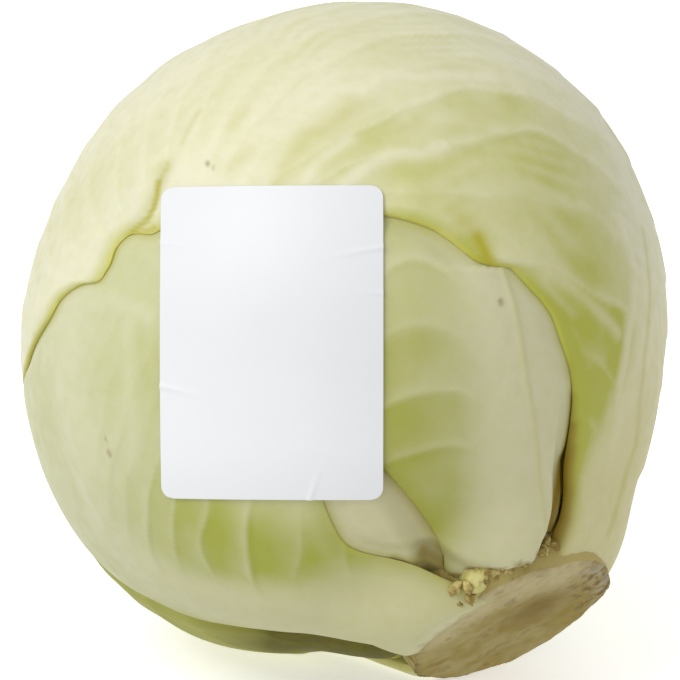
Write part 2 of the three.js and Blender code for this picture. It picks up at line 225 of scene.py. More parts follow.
def new_material(name, inputs):
    """A material whose surface has the given plain inputs, ready for more nodes."""
    material = bpy.data.materials.new(name)
    material.use_nodes = True
    surface = material.node_tree.nodes["Principled BSDF"]
    for socket, value in inputs.items():
        surface.inputs[socket].default_value = linear(value) if isinstance(value, str) else value
    return material, material.node_tree, surface


def sheet_mesh(name, outer, inner, marks):
    """Closed thin sheet between two grids of points in metres, with marks kept as point attributes."""
    rows, columns = outer.shape[:2]
    half = rows * columns
    grid = np.arange(half).reshape(rows, columns)
    top = np.stack([grid[:-1, :-1], grid[:-1, 1:], grid[1:, 1:], grid[1:, :-1]], -1).reshape(-1, 4)
    rims = []
    for line, flip in ((grid[0], True), (grid[-1], False), (grid[:, 0], False), (grid[:, -1], True)):
        a, b = (line[1:], line[:-1]) if flip else (line[:-1], line[1:])
        rims.append(np.stack([a, b, b + half, a + half], -1))
    faces = np.concatenate([top, top[:, ::-1] + half] + rims)
    mesh = bpy.data.meshes.new(name)
    points = np.concatenate([outer.reshape(-1, 3), inner.reshape(-1, 3)])
    mesh.from_pydata(points.tolist(), [], faces.tolist())
    for mark, values in marks.items():
        layer = mesh.attributes.new(mark, "FLOAT", "POINT")
        layer.data.foreach_set("value", np.tile(values.reshape(-1), 2).astype(np.float32))
    # The outer face takes the left half of the UV square, the inner one the right, and the rims thin strips
    v, u = np.mgrid[0:1:rows * 1j, 0:1:columns * 1j]
    flat = np.stack([u * 0.48 + 0.01, v * 0.98 + 0.01], -1).reshape(-1, 2)
    uv = [flat[top].reshape(-1, 2), (flat[top[:, ::-1]] + [0.5, 0]).reshape(-1, 2)]
    strips = ((1, 0.001, 0.008), (1, 0.992, 0.999), (0, 0.001, 0.008), (0, 0.492, 0.499))
    for rim, (axis, low, high) in zip(rims, strips):
        places = flat[rim % half].reshape(-1, 4, 2)
        places[:, :2, axis] = high
        places[:, 2:, axis] = low
        uv.append(places.reshape(-1, 2))
    layer = mesh.uv_layers.new(name="OFBake")
    layer.data.foreach_set("uv", np.concatenate(uv).reshape(-1).astype(np.float32))
    mesh.shade_smooth()
    mesh.set_sharp_from_angle(angle=math.radians(SHEET_SHARP_ANGLE))
    return mesh


def place(name, mesh, material, node):
    """Puts a finished piece into the frame in place of its CAD node."""
    piece = bpy.data.objects.new(name, mesh)
    bpy.context.scene.collection.objects.link(piece)
    mesh.materials.append(material)
    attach(piece, "root")
    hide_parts(node)


up, right = np.mgrid[-0.5:0.5:(LABEL_ROWS + 1) * 1j, -0.5:0.5:(LABEL_COLUMNS + 1) * 1j]
up = up * LABEL_HEIGHT
into_corner = np.maximum(0, np.abs(up) - LABEL_HEIGHT / 2 + LABEL_CORNER)
corner_cut = LABEL_CORNER - np.sqrt(np.maximum(LABEL_CORNER ** 2 - into_corner ** 2, 0))
right = right * (LABEL_WIDTH - 2 * corner_cut)
across_face = (right + LABEL_RIGHT)[..., None] * label_right + (up + LABEL_UP)[..., None] * label_up
way = across_face + label_facing * HEAD_RADIUS
for _ in range(LABEL_FITTING_STEPS):
    way = way / np.linalg.norm(way, axis=-1, keepdims=True)
    reach = np.sqrt(skin_radius(way) ** 2 - (across_face ** 2).sum(-1))
    way = across_face + reach[..., None] * label_facing
way = way / np.linalg.norm(way, axis=-1, keepdims=True)
creased = np.zeros_like(up)
for start, end, height in LABEL_CREASES:
    away, share = along_line(right, up, start, end)
    creased += height * (1 - share) * np.exp(-(away / CREASE_HALF_WIDTH) ** 2)
back = skin_radius(way) + LABEL_GAP + creased
front = back + LABEL_PAPER
shade_from, shade_to = np.array(LABEL_PAINTED_LIGHT_SPAN) * LABEL_HEIGHT
# The lower mark carries the painted light that lightens the label towards its lower edge.
label_mesh = sheet_mesh("label", laid_down(way * front[..., None]), laid_down(way * back[..., None]),
                        {"lower": smooth(-up, shade_from, shade_to)})

# Coated paper: near white with a soft sheen, and just enough cloud in it not to look like plastic. Its fibres
# are drawn half a millimetre wide, far coarser than real ones, so that they show.
paper, tree, surface = new_material("coated_paper", {"Roughness": 0.5, "IOR": 1.45})
where = add(tree, "TexCoord", output="Object")
cloud = add(tree, "TexNoise", {"Vector": where, "Scale": 1 / (18 * MM), "Detail": 3.0})
# Painted light: the lower mark makes the paper lighter towards its lower edge, against the shade there.
lower = add(tree, "Attribute", output="Fac", attribute_name="lower")
lower = add(tree, "Math", (cloud, 0.3, lower), operation="MULTIPLY_ADD", use_clamp=True)
tone = add(tree, "Mix", {0: lower, 6: LABEL_UPPER, 7: LABEL_PAINTED_LIGHTER_LOWER}, 2, data_type="RGBA")
fibre = add(tree, "TexNoise", {"Vector": where, "Scale": 1 / (0.5 * MM), "Detail": 3.0})
grain = add(tree, "Bump", {"Height": fibre, "Strength": 0.05, "Distance": 0.1 * MM})
tree.links.new(tone, surface.inputs["Base Color"])
tree.links.new(grain, surface.inputs["Normal"])
place("label", label_mesh, paper, "label")

# Crown leaf
# The outermost leaf. Its thick rib climbs the right side of the head, and its thin blade wraps the whole top
# and comes down on the left with a waved edge. Veins leave the rib to both sides and arch over the top.

# Thickness of a leaf, its rounded edge and the air under it, in millimetres and shares.
BLADE = 0.9
BASE_FLESH = 7.5
BASE_FLESH_AT_EDGE = 0.3
EDGE_SHARE = 0.2
EDGE_ROUND = 4
LEAF_GAP = 0.08
# How leaves lie on each other, in degrees. Relief comes back at some distance from a leaf on top, or from the
# label, there in millimetres.
EDGE_ROOM = 0.4
BASE_ROOM = 2
TUCK = 4
BASE_LENGTH = 34
SINK_LATITUDES = (18, 52)
RELIEF_RETURN = 8
LABEL_RELIEF_RETURN = 7
# A midrib line is counted from a little before the stem. The slant of an edge is taken over a short step.
MIDRIB_START = -50
SLANT_STEP = 3
STEEPEST_SLANT = 1.3
LEAST_COSINE = 0.05
# Rib, its flank and the waves of the edge, in degrees grown from the base, and shares.
RIB_FADE_LENGTH = 45
RIB_TIP_HEIGHT = 0.2
RIB_TIP_WIDTH = 0.25
RIB_PALE = (0.4, 2.2)
FLANK_END = (12, 38)
FLANK_ACROSS = (-4, 12)
FLANK_EDGE = 0.85
EDGE_WAVE_LENGTH = 31
EDGE_WAVE_START = (10, 40)
EDGE_WAVE_END = 12
EDGE_RUFFLE = 0.5
EDGE_RUFFLE_PACE = 2.3
EDGE_LIFT_START = 0.9
EDGE_LIFT_GROWTH = (5, 30)
CALM_EDGE = 6
# Uneven growth: waves of about one pitch in many directions, as amounts with sizes in millimetres.
SWELL_WAVES = 9
SWELL_SPREAD = 0.25
SWELL_PHASES = 10
TORN_SWELLS = ((1, 8), (0.6, 3.5))
TORN_SPAN = 0.06
VEIN_WANDER = ((0.16, 46), (0.06, 17))
BLADE_SWELLS = ((0.3, 60), (0.12, 19))
BLADE_SWELL_START = (4, 30)
GREEN_SWELLS = ((0.1, 45),)
SCAR_SWELLS = ((0.8, 4),)
# Side veins, in shares of the distance from one to the next: tail above and start of the steep side below.
VEIN_START = (-0.4, 0.8)
VEIN_AT_EDGE = 0.45
VEIN_UNEVENNESS = 0.25
VEIN_UNEVEN_PACE = 2.4
VEIN_FOOT = 0.2
VEIN_FADE = 0.75
VEIN_FADE_START = 0.6
VEIN_PROFILE = (0.3, 0.8)
PALE_VEIN_PROFILE = (0.15, 0.88)
PALE_VEIN = 0.7
# Painted shade under each vein's ridge, drawn as extra green on the blade below the vein.
SHADE_BELOW_VEIN = (0.2, 0.8)
SHADE_BELOW_VEIN_ENDS = (0.86, 1)
# Fine green streaks between the veins, which come and go and don't reach the sides.
STREAKS_PER_DEGREE = 0.22
STREAK_BENDS = ((0.9, 34),)
STREAK_FIELD = 26
STREAK_FIELD_RANGE = (-0.6, 0.8)
STREAK_SIDES = (32, 58)
# Stains at the leaf's base, spots and edges, and painted shade beside the edges of leaves on top and in
# clefts, in millimetres.
SCAR_LENGTH = (0.2, 1.8)
SPOT_STAIN = 0.75
EDGE_SHADE = 0.35
EDGE_SHADE_DEGREES = (0.3, 1.8)
GREEN_EDGE = (0.2, 6)
MOST_GREEN = 1.1
RIPE_DEGREES = (8, 75)
MARGIN_LINE = (0.2, 1.4)
DEPTH_SHADE = 0.6
DEPTH_SHADE_RANGE = (2.5, 9)
# The crease tint is partly yellow creases and partly painted shade beside the edges of leaves on top; the
# cleft tint is painted shade in clefts and under other leaves.
LEAF_TINTS = {"ripe": "C6BD70", "margin": "C6C04A", "crease_and_edge_shade": "B0A82C", "scar": "7D6420", "cleft_shade": "8A7208"}
LEAF_SPECKLE = "B3B560"
# What most leaves share. A leaf's places are given as degrees along its midrib line from the stem and degrees
# across from it. Patches add a reach in degrees and an amount of green, spots a reach in millimetres. Lines
# and clefts are points with half a width in millimetres: a line then has its rise, paleness and yellow stain,
# a cleft its drop and a brown tint that is painted shade.
USUAL_LEAF = dict(torn=0.2, flank=0, sink=0, vein_phases=(0.6, 0.1), vein_sides=(1, 1), vein_rise=5,
                  vein_reach=6, vein_slope=0.8, patches=(), lines=(), spots=(), clefts=())

covering_leaves = []


def through(points, places):
    """Smooth curve through a short list of (place, value) points."""
    xs, ys = np.array(points, float).T
    x = np.clip(places, xs[0], xs[-1])
    i = np.clip(np.searchsorted(xs, x) - 1, 0, len(xs) - 2)
    before = np.maximum(np.arange(len(xs)) - 1, 0)
    after = np.minimum(np.arange(len(xs)) + 1, len(xs) - 1)
    slopes = (ys[after] - ys[before]) / (xs[after] - xs[before])
    step = xs[i + 1] - xs[i]
    t = (x - xs[i]) / step
    rest = 1 - t
    return (ys[i] * (1 + 2 * t) * rest ** 2 + slopes[i] * step * t * rest ** 2
            + ys[i + 1] * (3 - 2 * t) * t ** 2 - slopes[i + 1] * step * t ** 2 * rest)


def on_leaf(leaf, way):
    """Where a direction falls on a leaf: degrees along its midrib line, and across from it."""
    turn = math.radians(leaf.longitude)
    facing = way[..., 0] * math.cos(turn) + way[..., 1] * math.sin(turn)
    sideways = way[..., 1] * math.cos(turn) - way[..., 0] * math.sin(turn)
    along = np.degrees(np.arctan2(facing, -way[..., 2]))
    along = np.where(along < MIDRIB_START, along + 360, along)
    return along, np.degrees(np.arcsin(np.clip(sideways, -1, 1)))


def leaf_direction(leaf, along, across):
    """Unit vectors to places on a leaf."""
    turn = math.radians(leaf.longitude)
    a, c = np.radians(along), np.radians(across)
    facing, sideways = np.cos(c) * np.sin(a), np.sin(c)
    return np.stack([facing * math.cos(turn) - sideways * math.sin(turn),
                     facing * math.sin(turn) + sideways * math.cos(turn), -np.cos(c) * np.cos(a)], -1)


def outline(leaf, across, along):
    """Degrees across from the midrib line to the leaf's edge, before it is waved."""
    return np.where(across < 0, through(leaf.left, along), through(leaf.right, along))


def edge_across(leaf, side, along):
    """Degrees across from the midrib line to the leaf's waved edge."""
    swell = smooth(along - leaf.base, *EDGE_WAVE_START)
    swell = swell * (1 - smooth(along, leaf.tip - EDGE_WAVE_END, leaf.tip))
    phase = np.radians(360 * along / EDGE_WAVE_LENGTH + leaf.longitude)
    ruffle = np.sin(phase) + EDGE_RUFFLE * np.sin(EDGE_RUFFLE_PACE * phase + np.sign(side))
    return outline(leaf, side, along) + leaf.edge_wave * swell * ruffle


def outside(leaf, way):
    """How far outside a leaf's outline a direction lies, in degrees; 0 within it."""
    along, across = on_leaf(leaf, way)
    widening = outline(leaf, across, along + SLANT_STEP) - outline(leaf, across, along - SLANT_STEP)
    slant = widening / (2 * SLANT_STEP) / np.maximum(np.cos(np.radians(across)), LEAST_COSINE)
    slant = np.clip(slant, -STEEPEST_SLANT, STEEPEST_SLANT)
    beyond = (np.abs(across) - edge_across(leaf, across, along)) / np.hypot(1, slant)
    short = leaf.base - np.where(along < 0, along, latitude_of(way))
    return np.maximum.reduce([np.zeros_like(along), beyond, short, along - leaf.tip])


def flesh_at(leaf, along):
    """1 at a leaf's thick base, falling to 0 where it is thin."""
    return 1 - smooth(along, leaf.base, leaf.base + BASE_LENGTH)


def thickness(leaf, way):
    """Thickness of a leaf: a thin blade on a fleshy base, which is thinner towards its edges."""
    along, across = on_leaf(leaf, way)
    share = np.minimum(np.abs(across) / np.maximum(outline(leaf, across, along), 1), 1)
    return BLADE + BASE_FLESH * flesh_at(leaf, along) * mix(1, BASE_FLESH_AT_EDGE, share ** 2)


def sag(leaf, way):
    """How far a leaf's base lies below the skin, except where the ground presses on it."""
    low = 1 - smooth(on_leaf(leaf, way)[0], *SINK_LATITUDES)
    return leaf.sink * low * (1 - smooth(press_at(way), -PRESS_EASE, PRESS_EASE))


def depth_under(way):
    """Depth below the skin taken up by the leaves laid so far."""
    depth = np.zeros(way.shape[:-1])
    for leaf in covering_leaves:
        room = EDGE_ROOM + BASE_ROOM * flesh_at(leaf, on_leaf(leaf, way)[0])
        covered = 1 - smooth(outside(leaf, way), room, room + TUCK)
        depth += covered * (sag(leaf, way) + thickness(leaf, way) + LEAF_GAP)
    return depth


def freedom(way):
    """Relief lies down where another leaf or the label presses on it."""
    free = smooth(outside_label(way), 0, LABEL_RELIEF_RETURN)
    for leaf in covering_leaves:
        free = free * smooth(outside(leaf, way), EDGE_ROOM, EDGE_ROOM + RELIEF_RETURN)
    return free


def swells(seed, way, size):
    """Gentle uneven swelling of about the given size in millimetres, mostly between -1 and 1."""
    waves = np.random.default_rng(seed).normal(size=(SWELL_WAVES, 4))
    total = np.zeros(way.shape[:-1])
    for wave in waves:
        axis = wave[:3] / np.linalg.norm(wave[:3])
        pitch = 2 * math.pi * HEAD_RADIUS / size * (1 + SWELL_SPREAD * math.tanh(wave[3]))
        total += np.sin(way @ axis * pitch + wave[3] * SWELL_PHASES)
    return total / math.sqrt(SWELL_WAVES)


def unevenness(seed, way, parts):
    """Swells of several sizes together; parts are amounts with sizes in millimetres."""
    return sum(amount * swells(seed + number, way, size) for number, (amount, size) in enumerate(parts))


def near_points(along, across, points, reach):
    """Soft mask round a line through points of a leaf, or round one point; reach is in degrees."""
    mask = np.zeros_like(along)
    for start, end in zip(points, points[1:] or points):
        narrow = math.cos(math.radians((start[1] + end[1]) / 2))
        # One point alone is drawn as a line too short to see
        end_along = end[0] * narrow + (1e-6 if start == end else 0)
        away, _ = along_line(along * narrow, across, (start[0] * narrow, start[1]), (end_along, end[1]))
        mask = np.maximum(mask, np.exp(-(away / reach) ** 2))
    return mask


def vein_profile(above, tail, front):
    """Height across a vein, which is steep on its lower side and falls off gently above."""
    return np.maximum(np.exp(-above / tail), smooth(above, front, 1))


def grow_leaf(leaf):
    """Mesh of one leaf: its rows run from edge to edge and follow each other from base to tip."""
    span, spread = np.mgrid[0:1:(leaf.rows + 1) * 1j, -1:1:(leaf.columns + 1) * 1j]
    share = np.abs(spread)
    at_stem = np.radians(outline(leaf, spread, leaf.base) * spread)
    start = np.degrees(np.arccos(np.minimum(math.cos(math.radians(leaf.base)) / np.cos(at_stem), 1)))
    along = mix(start, leaf.tip, span)
    edge = edge_across(leaf, spread, along)
    across = edge * spread
    way = leaf_direction(leaf, along, across)
    torn = leaf.torn * unevenness(leaf.seed, way, TORN_SWELLS)
    along = along + torn * (1 - smooth(span, 0, TORN_SPAN))
    way = leaf_direction(leaf, along, across)
    grown = np.where(along < 90, latitude_of(way), along) - leaf.base
    edge_mm = (1 - share) * edge * DEGREE
    inward = smooth(edge_mm, 0, CALM_EDGE)
    hanging = 1 - smooth(press_at(way), -PRESS_EASE, PRESS_EASE)

    # Rib, side veins and streaks
    fade = np.exp(-grown / RIB_FADE_LENGTH)
    from_rib = across - through(leaf.rib, along)
    away = np.abs(from_rib)
    rib_half = leaf.rib_half * mix(RIB_TIP_WIDTH, 1, fade)
    on_rib = np.exp(-(away / rib_half) ** 2)
    climb = leaf.vein_rise * (1 - np.exp(-away / leaf.vein_reach)) + leaf.vein_slope * away
    wander = unevenness(leaf.seed + 2, way, VEIN_WANDER)
    count = (grown - climb) / leaf.vein_spacing + np.where(from_rib < 0, *leaf.vein_phases) + wander
    above = count % 1
    strength = smooth(count, *VEIN_START) * (1 - on_rib) * mix(1, VEIN_AT_EDGE, share)
    strength = strength * np.where(from_rib < 0, *leaf.vein_sides)
    turns = np.sin(VEIN_UNEVEN_PACE * np.floor(count + VEIN_FOOT) + leaf.seed)
    strength = strength * (1 - VEIN_UNEVENNESS + VEIN_UNEVENNESS * turns)
    strength = strength * (1 - VEIN_FADE * smooth(grown, VEIN_FADE_START * leaf.vein_end, leaf.vein_end))
    streak = STREAKS_PER_DEGREE * (grown - climb) + unevenness(leaf.seed + 8, way, STREAK_BENDS)
    streak = np.sin(2 * math.pi * streak)
    streak = streak * smooth(swells(leaf.seed + 9, way, STREAK_FIELD), *STREAK_FIELD_RANGE)
    streak = streak * (1 - smooth(np.abs(across), *STREAK_SIDES))
    vein = vein_profile(above, *VEIN_PROFILE) * strength
    pale_vein = vein_profile(above, *PALE_VEIN_PROFILE) * strength
    # Painted shade below each vein's ridge, added to the green further down.
    shade_below_vein = smooth(above, *SHADE_BELOW_VEIN) * (1 - smooth(above, *SHADE_BELOW_VEIN_ENDS)) * strength
    pale = np.maximum(1 - smooth(away / rib_half, *RIB_PALE), PALE_VEIN * pale_vein)
    crease_and_edge_shade, ridge = np.zeros_like(along), np.zeros_like(along)
    for points, half_mm, rise, paleness, stain in leaf.lines:
        mask = near_points(along, across, points, half_mm / DEGREE)
        ridge = ridge + rise * mask
        pale = np.maximum(pale, paleness * mask)
        crease_and_edge_shade = np.maximum(crease_and_edge_shade, stain * mask)
    # Clefts: a dip in the surface, with painted brown shade in it.
    cleft_shade = np.zeros_like(along)
    for points, half_mm, drop, stain in leaf.clefts:
        mask = near_points(along, across, points, half_mm / DEGREE)
        ridge = ridge - drop * mask
        cleft_shade = np.maximum(cleft_shade, stain * mask)

    # Outer and inner face
    depth = depth_under(way)
    bed = skin_radius(way) - depth - sag(leaf, way)
    rib = leaf.rib_height * mix(RIB_TIP_HEIGHT, 1, fade) * on_rib * (1 - span)
    flank = leaf.flank * (1 - smooth(grown, *FLANK_END)) * smooth(across, *FLANK_ACROSS)
    flank = flank * (1 - smooth(share, FLANK_EDGE, 1))
    uneven = unevenness(leaf.seed + 4, way, BLADE_SWELLS) * smooth(grown, *BLADE_SWELL_START)
    roll_up = 0.5 + 0.5 * np.sin(np.radians(360 * along / EDGE_WAVE_LENGTH + 2 * leaf.longitude))
    lift = leaf.edge_lift * roll_up * smooth(share, EDGE_LIFT_START, 1) * smooth(grown, *EDGE_LIFT_GROWTH)
    relief = rib + flank + lift + (leaf.vein_height * vein + uneven) * inward
    slump = leaf.side_drop * flesh_at(leaf, along) * share ** 2 * hanging
    thick = thickness(leaf, way)
    to_rim = 1 - np.minimum(edge_mm / EDGE_ROUND, 1)
    rounding = thick * (1 - EDGE_SHARE) * (1 - np.sqrt(1 - to_rim ** 2))
    raised = bed + relief * freedom(way) + ridge - slump - rounding
    back = bed - thick
    surface = np.minimum.reduce([raised, ground_distance(way), cut_distance(way)])
    surface = np.maximum(surface, back + EDGE_SHARE * BLADE)

    # Colour
    leafy = leaf.leafy + unevenness(leaf.seed + 6, way, GREEN_SWELLS)
    for place_along, place_across, reach, amount in leaf.patches:
        leafy = leafy + amount * near_points(along, across, [(place_along, place_across)], reach)
    leafy = leafy + leaf.streaks * shade_below_vein + leaf.fine_streaks * streak * inward
    leafy = np.clip(leafy, 0, MOST_GREEN) * (1 - pale)
    scar_mm = grown * DEGREE + unevenness(leaf.seed + 7, way, SCAR_SWELLS)
    scar = leaf.scar * (1 - smooth(scar_mm, *SCAR_LENGTH))
    for place_along, place_across, reach_mm in leaf.spots:
        mask = near_points(along, across, [(place_along, place_across)], reach_mm / DEGREE)
        scar = np.maximum(scar, SPOT_STAIN * mask)
    # Painted shade: a dark olive tint just outside the edge of each leaf on top of this one.
    for cover in covering_leaves:
        crease_and_edge_shade = np.maximum(crease_and_edge_shade, EDGE_SHADE * (1 - smooth(outside(cover, way), *EDGE_SHADE_DEGREES)))
    marks = {
        "leafy": leafy + leaf.edge_green * (1 - smooth(edge_mm, *GREEN_EDGE)),
        "ripe": leaf.ripe * (1 - smooth(grown, *RIPE_DEGREES)) * (1 - np.minimum(leafy, 1)),
        "margin": through(leaf.margin, along) * (1 - smooth(edge_mm, *MARGIN_LINE)),
        "crease_and_edge_shade": crease_and_edge_shade,
        "scar": np.clip(scar, 0, 1),
        # Painted shade: brown in the clefts, and more where the leaf lies deep under others.
        "cleft_shade": np.maximum(cleft_shade, DEPTH_SHADE * smooth(depth, *DEPTH_SHADE_RANGE)),
    }
    mesh = sheet_mesh(leaf.name, laid_down(way * surface[..., None]), laid_down(way * back[..., None]), marks)
    covering_leaves.append(leaf)
    return mesh


def waxy_leaf(cream, green, shine):
    """Fresh cabbage leaf: cream ribs and veins, yellow-green blade between them, under a thin dull wax.

    The grain of the wax is drawn about a millimetre wide, coarser than it is, so that it shows.
    """
    material, tree, surface = new_material("waxy_leaf", {
        "IOR": 1.4, "Specular IOR Level": shine, "Subsurface Weight": 0.18,
        "Subsurface Radius": (1.0, 0.85, 0.35), "Subsurface Scale": 2.5 * MM})
    where = add(tree, "TexCoord", output="Object")
    cloud = add(tree, "TexNoise", {"Vector": where, "Scale": 1 / (14 * MM), "Detail": 3.0})
    cloud = add(tree, "MapRange", (cloud, 0.3, 0.7, 0.8, 1.15))
    mottle = add(tree, "TexNoise", {"Vector": where, "Scale": 1 / (3.5 * MM), "Detail": 3.0})
    leafy = add(tree, "Attribute", output="Fac", attribute_name="leafy")
    leafy = add(tree, "Math", (leafy, cloud), operation="MULTIPLY", use_clamp=True)
    colour = add(tree, "Mix", {0: leafy, 6: cream, 7: green}, 2, data_type="RGBA")
    speckle = add(tree, "MapRange", (mottle, 0.4, 0.75, 0.0, 0.14))
    colour = add(tree, "Mix", {0: speckle, 6: colour, 7: LEAF_SPECKLE}, 2, data_type="RGBA")
    for mark, tint in LEAF_TINTS.items():
        share = add(tree, "Attribute", output="Fac", attribute_name=mark)
        colour = add(tree, "Mix", {0: share, 6: colour, 7: tint}, 2, data_type="RGBA")
    wax = add(tree, "MapRange", (mottle, 0.3, 0.7, 0.46, 0.58))
    grain = add(tree, "TexNoise", {"Vector": where, "Scale": 1 / (1.1 * MM), "Detail": 4.0})
    height = add(tree, "Math", (mottle, 1.2, grain), operation="MULTIPLY_ADD")
    bump = add(tree, "Bump", {"Height": height, "Strength": 0.2, "Distance": 0.25 * MM})
    tree.links.new(colour, surface.inputs["Base Color"])
    tree.links.new(wax, surface.inputs["Roughness"])
    tree.links.new(bump, surface.inputs["Normal"])
    return material


def lay_leaf(name, slot, cream, green, shine=0.5, **own):
    """Grows one leaf under the leaves laid so far and puts it into the frame."""
    leaf = SimpleNamespace(name=name, **{**USUAL_LEAF, **own})
    place(name, grow_leaf(leaf), waxy_leaf(cream, green, shine), name)


lay_leaf(
    "leaf_crown", "outer_leaf", "E0DDBF", "AFB141",
    seed=11, longitude=70, base=19, tip=257, rows=290, columns=164, torn=0.05, scar=0.1,
    rib=[(19, 0), (45, -1), (60, 2), (80, 3), (120, 2), (180, 0), (257, -4)], rib_half=9, rib_height=0.5,
    flank=3.4, side_drop=0.5, edge_lift=0.25, edge_wave=0.25,
    vein_spacing=11, vein_phases=(0.64, 0.1), vein_height=0.5,
    vein_end=400, vein_rise=3, vein_reach=5, vein_slope=0.42,
    left=[(17, 10.2), (20, 10.6), (24, 10.6), (28, 11.7), (35.6, 15.9), (46, 20.7), (55, 26), (59.6, 28.6),
          (64.7, 33.1), (67.6, 35.5), (68.5, 36.8), (69.1, 40.4), (70.4, 42.6), (73, 44.8), (76.5, 47.1),
          (79.5, 49.1), (87, 56), (100, 68), (120, 74), (155, 76), (182, 74), (190, 72.6), (201, 69.4),
          (219, 68.6), (226, 67), (228.5, 62.5), (233.7, 57), (240.5, 51.4), (247, 40.8), (249.7, 35),
          (251, 28), (254, 18), (257, 6)],
    right=[(19, 14), (30, 19), (45, 26), (65, 34), (90, 46), (130, 54), (180, 52), (225, 44), (248, 24),
           (257, 6)],
    leafy=0.05, ripe=0.6, edge_green=0.5, fine_streaks=0.09, streaks=0.12,
    margin=[(19, 0.15), (66, 0.15), (70, 0.6), (92, 0.5), (180, 0.8), (257, 0.8)],
    patches=[(30, -12, 10, 0.4), (44, -15, 16, 1.0), (62, -19, 16, 0.5), (80, -28, 16, 0.3),
             (72, -42, 4, 0.5), (86, -47, 9, 0.25), (78, -14, 5, 0.2), (98, -22, 16, 0.2),
             (108, -40, 12, 0.14), (120, -30, 12, 0.12), (120, -58, 8, 0.15), (140, -64, 6, 0.1),
             (107, -49, 7, 0.35), (113, -58, 6, 0.2), (104.8, -31, 4, 0.25), (100.2, -22.5, 4, 0.25),
             (94, -50, 6, 0.2)],
    lines=[([(159, -53), (162, -56.5), (163.5, -59)], 0.9, -0.1, 0, 0.3),
           ([(69.5, -40.4), (72, -40.9), (75, -41.6)], 1.7, -0.15, 0, 1.0),
           ([(74, -41.5), (80, -43.8)], 2.4, 0, 0, 0.35),
           ([(25, -1), (33, -3), (42, -6.5), (49, -8.2), (56, -7.8), (62, -6.2), (68, -4), (77, -7)],
            2.4, 0.2, 0.9, 0),
           ([(24, 2), (32, 4), (39, 4.4), (46, 1.1), (54, -0.2), (64, 1.6), (76, 3)], 1.3, -0.1, 0, 0.32),
           ([(57, -11), (62, -20), (67, -29)], 1.8, 0.2, 0.5, 0),
           ([(172, -63), (177.4, -67), (186, -70), (200, -69.6)], 2.6, -0.6, 0, 0.4),
           ([(175, -64.7), (177.4, -67.4), (180.7, -69.3), (186, -70.4), (199, -69.8)], 1.2, -0.4, 0, 0.95),
           ([(201, -69.6), (193.5, -71.8), (184, -73)], 0.9, -0.2, 0, 0.6),
           ([(170.5, -62.4), (175, -64.7)], 1.0, -0.2, 0, 0.6),
           ([(119, -65.6), (119.6, -61.5), (120.9, -56.6), (118.2, -53.4), (117.4, -50.2), (118.3, -46.4)],
            2.2, 0, 0, 0.26),
           ([(140.7, -65.8), (135.8, -62)], 1.8, 0, 0, 0.2),
           ([(145.9, -57.9), (143.8, -54.4)], 1.6, 0, 0, 0.2),
           ([(119, -43.3), (118.6, -37.6), (113.7, -33.4), (110.5, -27.5), (107.1, -20.3)],
            1.8, 0.15, 0.8, 0),
           ([(100.4, -58.1), (101.4, -52.9), (100.7, -49.2), (97.3, -44.9), (96.9, -40.6)],
            1.8, 0.15, 0.8, 0),
           ([(110.3, -62.4), (112.2, -58.8), (110.8, -52.3)], 1.6, 0.1, 0.7, 0)],
    spots=[(151.5, -65, 0.5), (148.5, -65.6, 0.4)],
    clefts=[([(18, -10.3), (24, -10.5), (28, -11.6), (35.6, -15.8)], 1.6, 0, 0.95),
            ([(35.6, -15.8), (40, -17.9)], 1.3, 0, 0.8), ([(40, -17.9), (45, -20.2)], 1.0, 0, 0.5),
            ([(45, -20.2), (51, -23.5)], 0.9, 0, 0.25)])

# Left leaf
# The wrapper leaf at the lower left. A broad pale rib runs out of the stem along its middle, and a few strong
# veins curve up from it to the label.
lay_leaf(
    "leaf_left", "outer_leaf", "CDCDA8", "A2A83E",
    seed=23, longitude=-50, base=17.6, tip=138, rows=190, columns=150, scar=0.3,
    rib=[(17, 9), (24, 6), (29, 2.5), (35, -0.5), (42, -4.8), (49.4, -9.5), (55.4, -14), (62, -16), (72, -15),
         (83, -8), (94, -3), (103, 5), (138, 6)], rib_half=10, rib_height=2.0,
    side_drop=1.5, edge_lift=0.3, edge_wave=0.4,
    vein_spacing=6.2, vein_phases=(0.6, 0.64), vein_sides=(0.2, 1), vein_height=0.5,
    vein_end=75, vein_rise=6, vein_reach=8, vein_slope=0.55,
    left=[(17.6, 1.2), (21, 1.2), (25.7, 2.6), (28.7, 5.2), (33.6, 9.6), (39.9, 13.2), (44.4, 16.1),
          (48.8, 19.9), (53.6, 24.3), (57.4, 28), (64, 34), (80, 39), (100, 41), (120, 34), (138, 12)],
    right=[(17.6, 15), (25, 16), (38, 16), (45, 20), (52, 26), (70, 38), (90, 45), (115, 38), (138, 12)],
    leafy=0.15, ripe=0.3, edge_green=0.3, fine_streaks=0.02, streaks=0.2, margin=[(17, 0.3), (138, 0.4)],
    patches=[(50, 9, 13, 0.55), (42, 12, 7, 0.4), (62, 4, 12, 0.45), (83, 18, 9, 0.2), (89, 6, 8, 0.2),
             (86, -6, 9, -0.1)],
    lines=[([(61, -16), (71, -13), (83, -7), (94, -3), (103, 6)], 3.2, 0.3, 0.6, 0),
           ([(101, -8), (105, 4), (103, 10.4), (100.6, 15.2), (97, 19), (93.5, 21.5)], 2.2, 0.2, 0.7, 0),
           ([(97, 19), (92.5, 16), (86.6, 12.8), (81.3, 8.7), (75, 2.4)], 2.4, 0.3, 0.6, 0)],
    spots=[(80, 0, 0.7), (82, 1.2, 0.4)])

